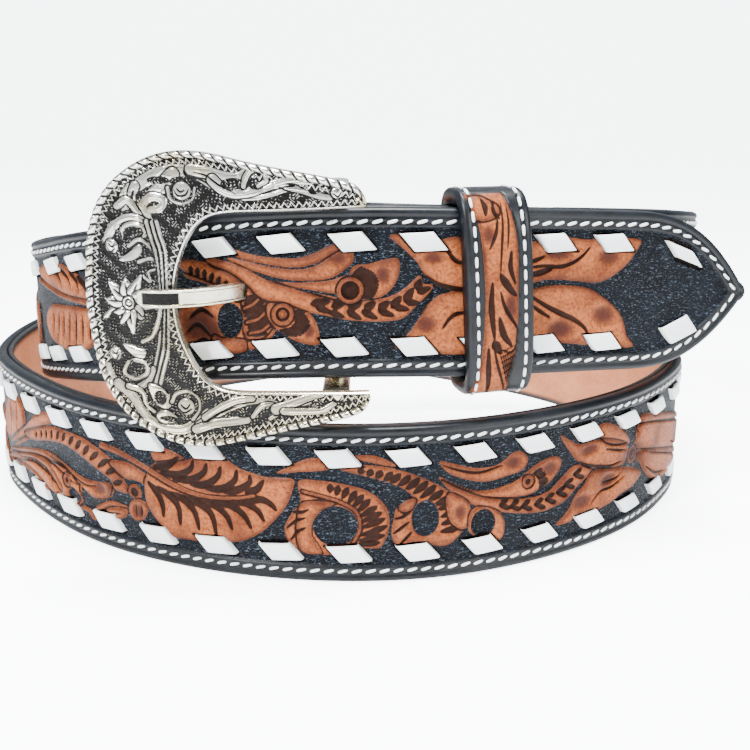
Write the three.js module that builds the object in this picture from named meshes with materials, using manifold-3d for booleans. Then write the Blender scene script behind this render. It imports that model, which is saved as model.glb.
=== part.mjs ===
import * as THREE from "three";
import { mergeVertices } from "three/addons/utils/BufferGeometryUtils.js";
import Module from "manifold-3d";

// Western leather belt, buckled and wound in two turns that stand on edge.
// Sizes in millimetres. X runs across the ring, Y to the back, Z up.

// Strap
const STRAP_H = 38;
const RING_W = 208;
const RING_D = 134;
const RIM_T = 2.9;
const CORE_T = 1.4;
const FOLD_T = 2;
const LINING_T = 1.35;
const GAP = 0.3;
const LINING_INSET = 0.2;
const LINING_SHORT = 2.5;
const LINING_SAG = 0.4;

// Point of the strap
const POINT_L = 34;
const POINT_CURVE = 2.5;
const POINT_END = 1.2;

// Lace
const LACE_T = 0.9;
const LACE_PROUD = 0.5;
const SLOT_H = 4.9;
const SLOT_L = 8.2;
const SLOT_INSET = 4.85;
const SLOT_LEAN = 3.6;
const LACE_RUN_IN = 2;
const ROW_LEAD = 1.2;
const LACE_PITCH = 16.107;
const LACE_END = 0.8;

// Prong holes
const HOLE_D = 3.8;
const HOLE_PITCH = 25.2;
const HOLE_COUNT = 4;
const HOLE_USED = 2;
const FIRST_HOLE = 78.1;
const HOLE_UP = 0.527;
const HOLE_SIDES = 10;

// Buckle
const BAR_R = 2.4;
const BAR_ACROSS = -9;
const FRAME_L = 63.5;
const FRAME_H = 65.5;
const FRAME_LIFT = 0.37;
const FRAME_R = 126;
const FRAME_APEX = 15;
const FRAME_APEX_X = -16;
const FRAME_APEX_Y = 0.2;
const FRAME_ROLL = THREE.MathUtils.degToRad(-1.2);
const PLATE_T = 2.1;
const ROPE_W = 1.7;
const ROPE_T = 2.9;
const RELIEF_T = 2.9;
const LUG_R = 3;
const LUG_H = 5.2;
const LUG_INNER = 19.9;

// Prong
const PRONG_W = 3.9;
const PRONG_T = 2.4;
const EYE_WALL = 1.8;

// Keeper
const KEEPER_W = 15.8;
const KEEPER_T = 2.5;
const KEEPER_ACROSS = 26.6;
const KEEPER_CORNER = 2.4;
const KEEPER_PLAY = 0.7;
const KEEPER_SET = 0.35;
const KEEPER_EASE = 0.5;

// Spacing of the stations along the plain end, and merging distance
const PLAIN_STEP = 8;
const WRAP_STEP = 2.46;
const WELD = 1e-4;

// Depths behind the tooled face, each layer behind the last
const LINING_FRONT = CORE_T + GAP + LACE_T + 2 * GAP;
const STRAP_T = LINING_FRONT + LINING_T;
const UNDER_GAP = 2 * GAP;
const UNDER = STRAP_T + UNDER_GAP;
const LEG = UNDER + FOLD_T + GAP + FOLD_T;
const WRAP_R = BAR_R + 1.4 * GAP + FOLD_T;
const BAR_DEPTH = UNDER + WRAP_R;
const LEG_SPREAD = BAR_DEPTH + WRAP_R - LEG;

// Route of the tooled face at the strap's lower edge.
// across is a share of the ring's width, back of its depth, rise of the strap's width.
const OUTER_TURN = [
  { across: 0.2995, back: 0.2075, rise: 1.1947 },
  { across: 0.3558, back: 0.2657, rise: 1.1658 },
  { across: 0.3971, back: 0.3619, rise: 1.1211 },
  { across: 0.4260, back: 0.4888, rise: 1.0711 },
  { across: 0.4481, back: 0.6194, rise: 1.0237 },
  { across: 0.4577, back: 0.7388, rise: 0.9579 },
  { across: 0.4413, back: 0.8507, rise: 0.8737 },
  { across: 0.3870, back: 0.9366, rise: 0.7842 },
  { across: 0.2981, back: 0.9813, rise: 0.7000 },
  { across: 0.1731, back: 1.0000, rise: 0.6000 },
  { across: 0.0192, back: 1.0015, rise: 0.4895 },
  { across: -0.1442, back: 0.9896, rise: 0.3737 },
  { across: -0.2981, back: 0.9590, rise: 0.2684 },
  { across: -0.4231, back: 0.8993, rise: 0.1789 },
  { across: -0.5024, back: 0.8022, rise: 0.1105 },
  { across: -0.5361, back: 0.6754, rise: 0.0474 },
  { across: -0.5317, back: 0.5410, rise: 0.0053 },
  { across: -0.4928, back: 0.4216, rise: 0.0000 },
];
const FRONT_TURN = [
  { across: -0.4308, back: 0.2955, rise: 0.0000 },
  { across: -0.3630, back: 0.1903, rise: 0.0000 },
  { across: -0.2841, back: 0.1060, rise: 0.0000 },
  { across: -0.1962, back: 0.0455, rise: 0.0000 },
  { across: -0.1029, back: 0.0090, rise: 0.0000 },
  { across: -0.0072, back: -0.0007, rise: 0.0000 },
  { across: 0.0880, back: 0.0209, rise: 0.0000 },
  { across: 0.1774, back: 0.0739, rise: 0.0000 },
  { across: 0.2596, back: 0.1507, rise: 0.0000 },
  { across: 0.3313, back: 0.2500, rise: 0.0000 },
  { across: 0.3875, back: 0.3701, rise: 0.0000 },
  { across: 0.4212, back: 0.4851, rise: 0.0000 },
  { across: 0.4269, back: 0.5821, rise: 0.0079 },
];
const INNER_TURN = [
  { across: 0.4149, back: 0.6791, rise: 0.0447 },
  { across: 0.3822, back: 0.7724, rise: 0.1211 },
  { across: 0.3197, back: 0.8418, rise: 0.2158 },
  { across: 0.2308, back: 0.8806, rise: 0.3158 },
  { across: 0.0962, back: 0.9030, rise: 0.4421 },
  { across: -0.0721, back: 0.9067, rise: 0.5789 },
  { across: -0.2308, back: 0.8806, rise: 0.6895 },
  { across: -0.3558, back: 0.8246, rise: 0.7632 },
  { across: -0.4351, back: 0.7388, rise: 0.8053 },
  { across: -0.4688, back: 0.6343, rise: 0.8237 },
  { across: -0.4663, back: 0.5299, rise: 0.8421 },
  { across: -0.4462, back: 0.4403, rise: 0.8789 },
];
const BILLET = [
  { across: -0.4111, back: 0.3582, rise: 0.9395 },
  { across: -0.3726, back: 0.2799, rise: 1.0053 },
  { across: -0.3197, back: 0.1978, rise: 1.0737 },
  { across: -0.2548, back: 0.1269, rise: 1.1474 },
  { across: -0.1875, back: 0.0716, rise: 1.2105 },
  { across: -0.1106, back: 0.0388, rise: 1.2526 },
  { across: -0.0240, back: 0.0284, rise: 1.2711 },
  { across: 0.0625, back: 0.0388, rise: 1.2658 },
  { across: 0.1490, back: 0.0731, rise: 1.2447 },
  { across: 0.2308, back: 0.1194, rise: 1.2211 },
  { across: 0.3125, back: 0.1701, rise: 1.1921 },
  { across: 0.3798, back: 0.2119, rise: 1.1658 },
  { across: 0.4447, back: 0.2522, rise: 1.1395 },
];

// Folded end on its way to the bar: open is 0 where it lies flat, 1 at the bar.
const FOLD_LEG = [
  { across: 0.173, open: 0 },
  { across: 0.115, open: 0 },
  { across: 0.058, open: 0.04 },
  { across: 0.014, open: 0.38 },
  { across: -0.017, open: 0.8 },
];
const UNDER_BILLET = [-0.01, 0.048, 0.115, 0.183, 0.24];
const WRAP_ANGLES = [90, 120, 150, 180, 210, 240, 270];

// Upper half of the buckle's frame from the arm's end to the closed side.
// outA and inA are shares of the frame's length, outH and inH of half its height.
const FRAME_HALF = [
  { outA: 0.011, outH: 0.675, inA: 0.011, inH: 0.616 },
  { outA: 0.034, outH: 0.744, inA: 0.041, inH: 0.613 },
  { outA: 0.085, outH: 0.786, inA: 0.095, inH: 0.611 },
  { outA: 0.168, outH: 0.822, inA: 0.165, inH: 0.607 },
  { outA: 0.252, outH: 0.854, inA: 0.235, inH: 0.605 },
  { outA: 0.336, outH: 0.888, inA: 0.309, inH: 0.603 },
  { outA: 0.421, outH: 0.926, inA: 0.383, inH: 0.601 },
  { outA: 0.500, outH: 0.965, inA: 0.445, inH: 0.599 },
  { outA: 0.577, outH: 0.988, inA: 0.493, inH: 0.590 },
  { outA: 0.655, outH: 0.986, inA: 0.531, inH: 0.568 },
  { outA: 0.732, outH: 0.950, inA: 0.563, inH: 0.529 },
  { outA: 0.807, outH: 0.881, inA: 0.587, inH: 0.479 },
  { outA: 0.873, outH: 0.788, inA: 0.609, inH: 0.420 },
  { outA: 0.925, outH: 0.669, inA: 0.626, inH: 0.354 },
  { outA: 0.962, outH: 0.527, inA: 0.642, inH: 0.280 },
  { outA: 0.983, outH: 0.371, inA: 0.655, inH: 0.200 },
  { outA: 0.995, outH: 0.199, inA: 0.664, inH: 0.107 },
  { outA: 1.002, outH: 0.000, inA: 0.668, inH: 0.000 },
];

// Raised leaves: root and tip as shares of the frame's length and half height.
const LEAVES = [
  { a: 0.09, h: 0.69, toA: 0.29, toH: 0.74, wide: 0.035, bend: 0.04 },
  { a: 0.3, h: 0.69, toA: 0.52, toH: 0.86, wide: 0.05, bend: -0.12 },
  { a: 0.5, h: 0.72, toA: 0.72, toH: 0.87, wide: 0.06, bend: 0.15 },
  { a: 0.63, h: 0.62, toA: 0.83, toH: 0.74, wide: 0.07, bend: -0.15 },
  { a: 0.72, h: 0.5, toA: 0.92, toH: 0.5, wide: 0.06, bend: 0.2 },
  { a: 0.72, h: 0.14, toA: 0.76, toH: 0.46, wide: 0.045, bend: 0.12 },
  { a: 0.87, h: 0.42, toA: 0.93, toH: 0.2, wide: 0.045, bend: 0.15 },
];
// Along a leaf: place as a share of its length, width as a share of its widest.
const LEAF_SECTIONS = [
  { along: 0, width: 0.12 },
  { along: 0.3, width: 0.8 },
  { along: 0.65, width: 1 },
  { along: 1, width: 0.1 },
];
const FLOWER = { a: 0.838, h: 0, out: 0.086, inner: 0.05, petals: 10 };

// Runs of lace slots: place of the last before the point and pitch between them,
// in lace pitches, and lead in row leads.
const LACE_RUNS = [
  { last: 13.3, count: 54, pitch: 1, lead: -1 },
  { last: 2.53, count: 11, pitch: 0.977, lead: 0.75 },
  { last: 1.225, count: 1, pitch: 1, lead: 0 },
];

// Stations of the point as shares of its length.
const POINT_STATIONS = [0.36, 0.28, 0.2, 0.13, 0.07, 0.03, 0];

// Prong's line in plan after its eye, from the middle of the bar.
// along is a share of the frame's length, front of the bar's depth, thick of the prong's.
const PRONG_LINE = [
  { along: 0.0505, front: 0.2856, thick: 1 },
  { along: 0.1569, front: 0.295, thick: 1 },
  { along: 0.2431, front: 0.1942, thick: 1 },
  { along: 0.3646, front: 0.8662, thick: 1 },
  { along: 0.4681, front: 1.3715, thick: 0.95 },
  { along: 0.5566, front: 1.5463, thick: 0.9 },
  { along: 0.6352, front: 1.5019, thick: 0.8 },
  { along: 0.6728, front: 1.4078, thick: 0.55 },
];

const wasm = await Module();
wasm.setup();

// Natural cubic spline through the values at rising knots.
function naturalSpline(knots, values) {
  const last = knots.length - 1;
  const bend = new Array(last + 1).fill(0);
  const carry = new Array(last + 1).fill(0);
  const slope = (i) => (values[i + 1] - values[i]) / (knots[i + 1] - knots[i]);
  for (let i = 1; i < last; i++) {
    const span = knots[i + 1] - knots[i - 1];
    const part = (knots[i] - knots[i - 1]) / span;
    const pivot = part * bend[i - 1] + 2;
    bend[i] = (part - 1) / pivot;
    carry[i] = ((6 * (slope(i) - slope(i - 1))) / span - part * carry[i - 1]) / pivot;
  }
  for (let i = last - 1; i >= 0; i--) bend[i] = bend[i] * bend[i + 1] + carry[i];
  return (t) => {
    let i = 0;
    while (i < last - 1 && t > knots[i + 1]) i++;
    const h = knots[i + 1] - knots[i];
    const a = (knots[i + 1] - t) / h;
    const b = 1 - a;
    const curl = ((a * a * a - a) * bend[i] + (b * b * b - b) * bend[i + 1]) * h * h;
    return a * values[i] + b * values[i + 1] + curl / 6;
  };
}

// Route through points, read by the length walked along it.
function routeThrough(points) {
  const knots = [0];
  const flat = (a, b) => Math.hypot(a.x - b.x, a.y - b.y);
  for (let i = 1; i < points.length; i++) {
    knots.push(knots[i - 1] + flat(points[i], points[i - 1]));
  }
  const axes = ["x", "y", "z"].map((k) => naturalSpline(knots, points.map((p) => p[k])));
  const at = (t) => new THREE.Vector3(axes[0](t), axes[1](t), Math.max(0, axes[2](t)));
  const end = knots[knots.length - 1];
  const steps = 40 * points.length;
  const walked = [0];
  for (let i = 1; i <= steps; i++) {
    const leg = at((end * i) / steps).distanceTo(at((end * (i - 1)) / steps));
    walked.push(walked[i - 1] + leg);
  }
  const knotAt = (s) => {
    let i = 0;
    while (i < steps - 1 && s > walked[i + 1]) i++;
    return (end * (i + (s - walked[i]) / (walked[i + 1] - walked[i]))) / steps;
  };
  const frameAt = (s) => {
    const t = knotAt(s);
    const ahead = at(t + GAP / 10).sub(at(t - GAP / 10));
    const out = new THREE.Vector3(ahead.y, -ahead.x, 0).normalize();
    return { point: at(t), out };
  };
  return { length: walked[steps], frameAt };
}

const fromShares = (row) =>
  new THREE.Vector3(row.across * RING_W, row.back * RING_D, row.rise * STRAP_H);

// Length along a route where it comes nearest to a place across the ring.
function whereAcross(route, x, from, to) {
  let best = from;
  const miss = (s) => Math.abs(route.frameAt(s).point.x - x);
  for (let s = from; s <= to; s += 0.25) if (miss(s) < miss(best)) best = s;
  return best;
}

const billetRoute = routeThrough(BILLET.map(fromShares));

// Point at a depth behind the billet's face, at a place across the ring.
function behindBillet(x, depth) {
  const s = whereAcross(billetRoute, x, 0, billetRoute.length);
  const { point, out } = billetRoute.frameAt(s);
  return point.clone().addScaledVector(out, -depth);
}

// Centre of the bar and the heading of the strap over it.
const barCentre = behindBillet(BAR_ACROSS, BAR_DEPTH);
const barOut = barCentre.clone().sub(behindBillet(BAR_ACROSS, 0)).setZ(0).normalize();

// Middle of the buckle's height, a little over the middle of the strap at the bar.
const FRAME_RISE = barCentre.z + STRAP_H / 2 + FRAME_LIFT;

function foldPoints() {
  const leg = FOLD_LEG.map((row) =>
    behindBillet(row.across * RING_W, LEG + row.open * LEG_SPREAD),
  );
  const wrap = WRAP_ANGLES.map((degrees) => {
    const turn = THREE.MathUtils.degToRad(degrees - 90);
    const arm = barOut.clone().applyAxisAngle(new THREE.Vector3(0, 0, 1), turn);
    return barCentre.clone().addScaledVector(arm, WRAP_R);
  });
  const under = UNDER_BILLET.map((across) => behindBillet(across * RING_W, UNDER));
  return [...leg, ...wrap, ...under];
}

const route = routeThrough([
  ...foldPoints(),
  ...[...OUTER_TURN, ...FRONT_TURN, ...INNER_TURN, ...BILLET].map(fromShares),
]);

const BILLET_START = route.length - billetRoute.length;
const WRAP_S = whereAcross(route, barCentre.x - WRAP_R, GAP, 2 * FRAME_L);
const LINING_START = whereAcross(route, 0.2 * RING_W, WRAP_S, 2 * FRAME_L);

// Point on the strap: s along it, v up from its lower edge, w out from its face.
function place(s, v, w) {
  const { point, out } = route.frameAt(s);
  return point.clone().addScaledVector(out, w).add(new THREE.Vector3(0, 0, v));
}

// Half the strap's width, drawn in towards the point.
function halfWidth(s) {
  const left = Math.min(1, Math.max(0, route.length - s) / POINT_L);
  const full = STRAP_H / 2;
  return Math.max(POINT_END, full * (1 - (1 - left) ** POINT_CURVE));
}

// Lace slots along the strap, each run even: places in pitches from the point.
function laceSlots() {
  return LACE_RUNS.flatMap(({ last, count, pitch, lead }) =>
    Array.from({ length: count }, (_, i) => ({
      s: route.length - (last + (count - 1 - i) * pitch) * LACE_PITCH,
      lead: lead * ROW_LEAD,
    })),
  );
}

const SLOTS = laceSlots();

// Plain stations before the first slot, closer together round the bar.
function plainStations() {
  const places = [];
  const end = SLOTS[0].s - SLOT_L / 2;
  let s = 0;
  while (s < end - PLAIN_STEP / 2) {
    places.push(s);
    const near = Math.abs(s + WRAP_STEP - WRAP_S) < (Math.PI / 2) * WRAP_R + WRAP_STEP;
    s += near ? WRAP_STEP : Math.min(PLAIN_STEP, Math.max(WRAP_STEP, toWrap(s)));
  }
  return places.map((place) => ({ s: place, lean: 0, lead: 0, opens: false }));
}

// Room left before the close stations round the bar begin.
function toWrap(s) {
  const start = WRAP_S - (Math.PI / 2) * WRAP_R - WRAP_STEP;
  return s < start ? start - s : PLAIN_STEP;
}

function slotStations() {
  return SLOTS.flatMap(({ s, lead }) => [
    { s: s - SLOT_L / 2, lean: 1, lead, opens: true },
    { s: s + SLOT_L / 2, lean: 1, lead, opens: false },
  ]);
}

function pointStations() {
  return POINT_STATIONS.map((share) => ({
    s: route.length - share * POINT_L,
    lean: 0,
    lead: 0,
    opens: false,
  }));
}

const STATIONS = [...plainStations(), ...slotStations(), ...pointStations()];

// Heights of the slot edges at a place, kept in from both edges of the strap.
function slotHeights(s) {
  const half = halfWidth(s);
  const low = STRAP_H / 2 - half;
  const first = Math.min(SLOT_INSET, half * 0.4);
  const second = Math.min(SLOT_INSET + SLOT_H, half * 0.8);
  const high = STRAP_H - low;
  return [low + first, low + second, high - second, high - first];
}

// Outline of the outer layer's section, up its face and down its back.
function strapRing({ s, lean, lead }) {
  const half = halfWidth(s);
  const low = STRAP_H / 2 - half;
  const high = STRAP_H / 2 + half;
  const lined = s > LINING_START;
  const rim = lined ? RIM_T : FOLD_T;
  const core = lined ? CORE_T : FOLD_T;
  const heights = slotHeights(s);
  const slants = [1, -1, 1, -1].map((side, i) => {
    const row = i < 2 ? -1 : 1;
    return lean * ((side * SLOT_LEAN) / 2 + row * lead);
  });
  const face = heights.map((v, i) => place(s + slants[i], v, 0));
  const back = heights.map((v, i) => place(s + slants[i], v, -core)).reverse();
  return [
    place(s, low, 0),
    ...face,
    place(s, high, 0),
    place(s, high, -rim),
    ...back,
    place(s, low, -rim),
  ];
}

// Mesh as corner points and triangles.
function emptyMesh() {
  return { points: [], triangles: [] };
}

// Quad split along its shorter diagonal.
function addQuad(mesh, a, b, c, d) {
  const { points, triangles } = mesh;
  const first = points[a].distanceToSquared(points[c]);
  const second = points[b].distanceToSquared(points[d]);
  if (first <= second) triangles.push([a, b, c], [a, c, d]);
  else triangles.push([a, b, d], [b, c, d]);
}

// Skin between rings of equal length; open names the ring sides left out of a span.
function loftRings(rings, open = () => []) {
  const mesh = emptyMesh();
  const size = rings[0].length;
  rings.forEach((ring) => mesh.points.push(...ring));
  for (let j = 0; j + 1 < rings.length; j++) {
    const gaps = open(j);
    for (let k = 0; k < size; k++) {
      if (gaps.includes(k)) continue;
      const next = (k + 1) % size;
      const row = j * size;
      addQuad(mesh, row + k, row + size + k, row + size + next, row + next);
    }
  }
  return mesh;
}

function fanCaps(mesh, size) {
  const last = mesh.points.length - size;
  for (let k = 1; k + 1 < size; k++) {
    mesh.triangles.push([0, k, k + 1], [last, last + k + 1, last + k]);
  }
}

// Ring corners of the strap: face edge of each slot and the back corner behind it.
const FACE_SIDES = [1, 3];
const BACK_SIDES = [9, 7];

// Walls of one slot between two stations.
function addSlotWalls(mesh, j, size) {
  FACE_SIDES.forEach((low, row) => {
    const high = low + 1;
    const backHigh = BACK_SIDES[row];
    const backLow = backHigh + 1;
    const near = j * size;
    const far = near + size;
    addQuad(mesh, near + low, far + low, far + backLow, near + backLow);
    addQuad(mesh, far + high, near + high, near + backHigh, far + backHigh);
    addQuad(mesh, far + low, far + high, far + backHigh, far + backLow);
    addQuad(mesh, near + high, near + low, near + backLow, near + backHigh);
  });
}

// End faces of the strap, as strips between its face and its back.
function addStrapCaps(mesh, size) {
  const last = mesh.points.length - size;
  for (let a = 0; a + 1 < size / 2; a++) {
    const [b, c, d] = [a + 1, size - 2 - a, size - 1 - a];
    addQuad(mesh, a, b, c, d);
    addQuad(mesh, last + d, last + c, last + b, last + a);
  }
}

function strapMesh() {
  const rings = STATIONS.map(strapRing);
  const size = rings[0].length;
  const sides = [...FACE_SIDES, ...BACK_SIDES];
  const mesh = loftRings(rings, (j) => (STATIONS[j].opens ? sides : []));
  STATIONS.forEach(({ opens }, j) => {
    if (opens) addSlotWalls(mesh, j, size);
  });
  addStrapCaps(mesh, size);
  return mesh;
}

// Stations of the lining, fewer where the strap runs nearly straight.
function liningPlaces(end) {
  const places = STATIONS.map(({ s }) => s).filter((s) => s > LINING_START && s < end);
  const kept = [places[0]];
  for (let i = 1; i + 1 < places.length; i++) {
    const from = kept[kept.length - 1];
    const turn = route.frameAt(from).out.angleTo(route.frameAt(places[i + 1]).out);
    const narrows = halfWidth(places[i + 1]) < STRAP_H / 2;
    if (narrows || ((places[i + 1] - from) * turn) / 8 > LINING_SAG) kept.push(places[i]);
  }
  return [...kept, end];
}

function liningMesh() {
  const end = route.length - LINING_SHORT;
  const rings = liningPlaces(end).map((s) => {
    const half = halfWidth(s) - LINING_INSET;
    const low = STRAP_H / 2 - half;
    const high = STRAP_H / 2 + half;
    return [
      place(s, low, -LINING_FRONT),
      place(s, high, -LINING_FRONT),
      place(s, high, -STRAP_T),
      place(s, low, -STRAP_T),
    ];
  });
  const mesh = loftRings(rings);
  fanCaps(mesh, 4);
  return mesh;
}

// One section of lace beside a slot's middle; up is 1 for the upper row.
// It lies on the face where rest is 1 and behind it where rest is 0.
function laceRing({ s: middle, lead }, beside, up, rest) {
  const s = middle + beside;
  const near = slotHeights(middle - SLOT_L / 2);
  const far = slotHeights(middle + SLOT_L / 2);
  const share = 0.5 + beside / SLOT_L;
  const [a, b, c, d] = near.map((v, i) => v + (far[i] - v) * share);
  const low = (up ? c : a) + GAP;
  const high = (up ? d : b) - GAP;
  const slant = (SLOT_LEAN / 2) * ((high - low) / SLOT_H);
  const shift = up ? lead : -lead;
  const top = rest ? LACE_PROUD : -CORE_T - GAP;
  const foot = top - LACE_T;
  return [
    place(s + slant + shift, low, top),
    place(s - slant + shift, high, top),
    place(s - slant + shift, high, foot),
    place(s + slant + shift, low, foot),
  ];
}

function laceMesh(up) {
  const first = SLOTS[0];
  const last = SLOTS[SLOTS.length - 1];
  const dive = SLOT_L / 2 - GAP;
  const rise = dive - LACE_RUN_IN;
  const rings = [laceRing(first, -SLOT_L / 2 - LACE_END, up, 0)];
  SLOTS.forEach((slot) => {
    rings.push(laceRing(slot, -dive, up, 0), laceRing(slot, -rise, up, 1));
    rings.push(laceRing(slot, rise, up, 1), laceRing(slot, dive, up, 0));
  });
  rings.push(laceRing(last, SLOT_L / 2 + LACE_END, up, 0));
  const mesh = loftRings(rings);
  fanCaps(mesh, 4);
  return mesh;
}

function solidOf({ points, triangles }) {
  const vertProperties = new Float32Array(points.flatMap((p) => p.toArray()));
  const triVerts = new Uint32Array(triangles.flat());
  return new wasm.Manifold(new wasm.Mesh({ numProp: 3, vertProperties, triVerts }));
}

// Closed shape as a solid, moved by a matrix.
function solidFrom(geometry, matrix = new THREE.Matrix4()) {
  const loose = geometry.index ? geometry.toNonIndexed() : geometry;
  const bare = new THREE.BufferGeometry();
  bare.setAttribute("position", loose.getAttribute("position"));
  const merged = mergeVertices(bare.applyMatrix4(matrix), WELD);
  const spots = merged.getAttribute("position");
  const points = Array.from({ length: spots.count }, (_, i) =>
    new THREE.Vector3().fromBufferAttribute(spots, i),
  );
  const corners = Array.from(merged.index.array);
  const triangles = Array.from({ length: corners.length / 3 }, (_, i) =>
    corners.slice(3 * i, 3 * i + 3),
  );
  const whole = triangles.filter((t) => new Set(t).size === 3);
  return solidOf({ points, triangles: whole });
}

// Frame at a point in plan: x along, y out of the face, z up.
function planFrame(origin, out) {
  const up = new THREE.Vector3(0, 0, 1);
  const along = new THREE.Vector3().crossVectors(out, up);
  return new THREE.Matrix4().makeBasis(along, out, up).setPosition(origin);
}

// Round punch through the billet, along its own normal.
function holePunch(fromPoint) {
  const s = route.length - fromPoint;
  const deep = STRAP_T + UNDER_GAP / 2;
  const punch = new THREE.CylinderGeometry(HOLE_D / 2, HOLE_D / 2, deep + GAP, HOLE_SIDES);
  const centre = place(s, HOLE_UP * STRAP_H, (GAP - deep) / 2);
  return solidFrom(punch, planFrame(centre, route.frameAt(s).out));
}

const prongPoint = ({ along, front }) =>
  new THREE.Vector3(
    barCentre.x - along * FRAME_L,
    barCentre.y - front * BAR_DEPTH,
    FRAME_RISE,
  );

// Stretched hole that the prong slants through.
function prongPunch() {
  const [from, to] = [2, 3].map((i) => prongPoint(PRONG_LINE[i]));
  const lean = to.clone().sub(from).normalize();
  const long = 2 * from.distanceTo(to);
  const punch = new THREE.CylinderGeometry(1, 1, long, 2 * HOLE_SIDES);
  punch.scale(PRONG_T / 2 + 3 * GAP, 1, PRONG_W / 2 + 3 * GAP);
  const middle = from.clone().lerp(to, 0.5);
  return solidFrom(punch, planFrame(middle, lean));
}

// Oblong slot in the fold that lets the prong's eye round the bar.
function eyeSlot() {
  const left = WRAP_R + GAP;
  const right = BAR_R + EYE_WALL + 2 * GAP;
  const front = BAR_DEPTH - STRAP_T - UNDER_GAP / 2;
  const behind = WRAP_R + GAP;
  const box = new THREE.BoxGeometry(left + right, front + behind, PRONG_W + 3 * GAP);
  box.translate((right - left) / 2, (front - behind) / 2, 0);
  const at = barCentre.clone().setZ(FRAME_RISE);
  return solidFrom(box, planFrame(at, barOut.clone().negate()));
}

function holePunches() {
  const places = Array.from({ length: HOLE_COUNT }, (_, i) => FIRST_HOLE + i * HOLE_PITCH);
  const plain = places.filter((_, i) => i !== HOLE_USED).map(holePunch);
  return [...plain, prongPunch()];
}

function cut(body, tools) {
  return tools.reduce((left, tool) => left.subtract(tool), body);
}

// Point on the buckle: a back from the arm's end, h up from the middle, d out.
function onBuckle(a, h, d) {
  const barA = FRAME_APEX_X + FRAME_APEX - BAR_ACROSS;
  const sin = Math.sin(FRAME_ROLL);
  const cos = Math.cos(FRAME_ROLL);
  const along = (barA - a) * cos + h * sin;
  const up = (a - barA) * sin + h * cos;
  const turn = (along - barA + FRAME_APEX) / FRAME_R;
  return new THREE.Vector3(
    FRAME_APEX_X + (FRAME_R + d) * Math.sin(turn),
    FRAME_APEX_Y + FRAME_R - (FRAME_R + d) * Math.cos(turn),
    FRAME_RISE + up,
  );
}

// Section across the frame from its rope edge to its inner edge.
function frameRing({ outA, outH, inA, inH }) {
  const half = FRAME_H / 2;
  const from = new THREE.Vector2(outA * FRAME_L, outH * half);
  const to = new THREE.Vector2(inA * FRAME_L, inH * half);
  const wide = from.distanceTo(to);
  const rope = Math.min(ROPE_W, wide * 0.4);
  const profile = [
    { t: 0, d: 0 },
    { t: 0, d: ROPE_T * 0.8 },
    { t: rope * 0.2, d: ROPE_T },
    { t: rope * 0.8, d: ROPE_T },
    { t: rope, d: PLATE_T },
    { t: wide - rope * 0.5, d: PLATE_T },
    { t: wide, d: PLATE_T * 0.8 },
    { t: wide, d: 0 },
  ];
  return profile.map(({ t, d }) => {
    const p = from.clone().lerp(to, t / wide);
    return onBuckle(p.x, p.y, d);
  });
}

function frameMesh() {
  const lower = FRAME_HALF.slice(0, -1).reverse();
  const mirrored = lower.map((row) => ({ ...row, outH: -row.outH, inH: -row.inH }));
  const rings = [...FRAME_HALF, ...mirrored].map(frameRing);
  const mesh = loftRings(rings);
  fanCaps(mesh, rings[0].length);
  return mesh;
}

// Raised leaf with a ridge, wider in the middle and bent to one side.
function leafMesh({ a, h, toA, toH, wide, bend }, side) {
  const root = new THREE.Vector2(a * FRAME_L, (side * h * FRAME_H) / 2);
  const tip = new THREE.Vector2(toA * FRAME_L, (side * toH * FRAME_H) / 2);
  const span = tip.clone().sub(root);
  const across = new THREE.Vector2(-span.y, span.x).multiplyScalar(side);
  const most = wide * FRAME_L;
  const rings = LEAF_SECTIONS.map(({ along, width }) => {
    const spot = root.clone().addScaledVector(span, along);
    spot.addScaledVector(across, 4 * bend * along * (1 - along));
    const reach = across.clone().setLength((most * width) / 2);
    const low = spot.clone().sub(reach);
    const high = spot.clone().add(reach);
    const ridge = PLATE_T + (RELIEF_T - PLATE_T) * width;
    return [
      onBuckle(low.x, low.y, PLATE_T - GAP),
      onBuckle(spot.x, spot.y, ridge),
      onBuckle(high.x, high.y, PLATE_T - GAP),
      onBuckle(spot.x, spot.y, PLATE_T - 2 * GAP),
    ];
  });
  const mesh = loftRings(rings);
  fanCaps(mesh, 4);
  return mesh;
}

// Sunburst flower: petals round a raised boss.
function flowerMesh() {
  const { a, h, out, inner, petals } = FLOWER;
  const levels = [
    { tip: out, notch: inner, d: PLATE_T - 2 * GAP },
    { tip: out, notch: inner, d: PLATE_T + GAP },
    { tip: inner * 0.6, notch: inner * 0.6, d: RELIEF_T + GAP },
  ];
  const count = 2 * petals;
  const rings = levels.map(({ tip, notch, d }) =>
    Array.from({ length: count }, (_, i) => {
      const turn = (2 * Math.PI * i) / count;
      const reach = (i % 2 ? notch : tip) * FRAME_L;
      return onBuckle(a * FRAME_L + reach * Math.cos(turn), h + reach * Math.sin(turn), d);
    }),
  );
  const mesh = loftRings(rings);
  fanCaps(mesh, count);
  return mesh;
}

// Lug from an arm back to the bar, rounded round the bar.
function lug(side) {
  const shape = new THREE.Shape();
  const reach = barCentre.y - FRAME_APEX_Y;
  shape.moveTo(-LUG_R, -reach - PLATE_T / 2);
  shape.lineTo(LUG_R, -reach - PLATE_T / 2);
  shape.absarc(0, 0, LUG_R, 0, Math.PI, false);
  const tab = new THREE.ExtrudeGeometry(shape, {
    depth: LUG_H,
    bevelEnabled: false,
    curveSegments: 6,
  });
  const low = side > 0 ? LUG_INNER : -LUG_INNER - LUG_H;
  tab.translate(barCentre.x, barCentre.y, FRAME_RISE + low);
  return solidFrom(tab);
}

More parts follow.
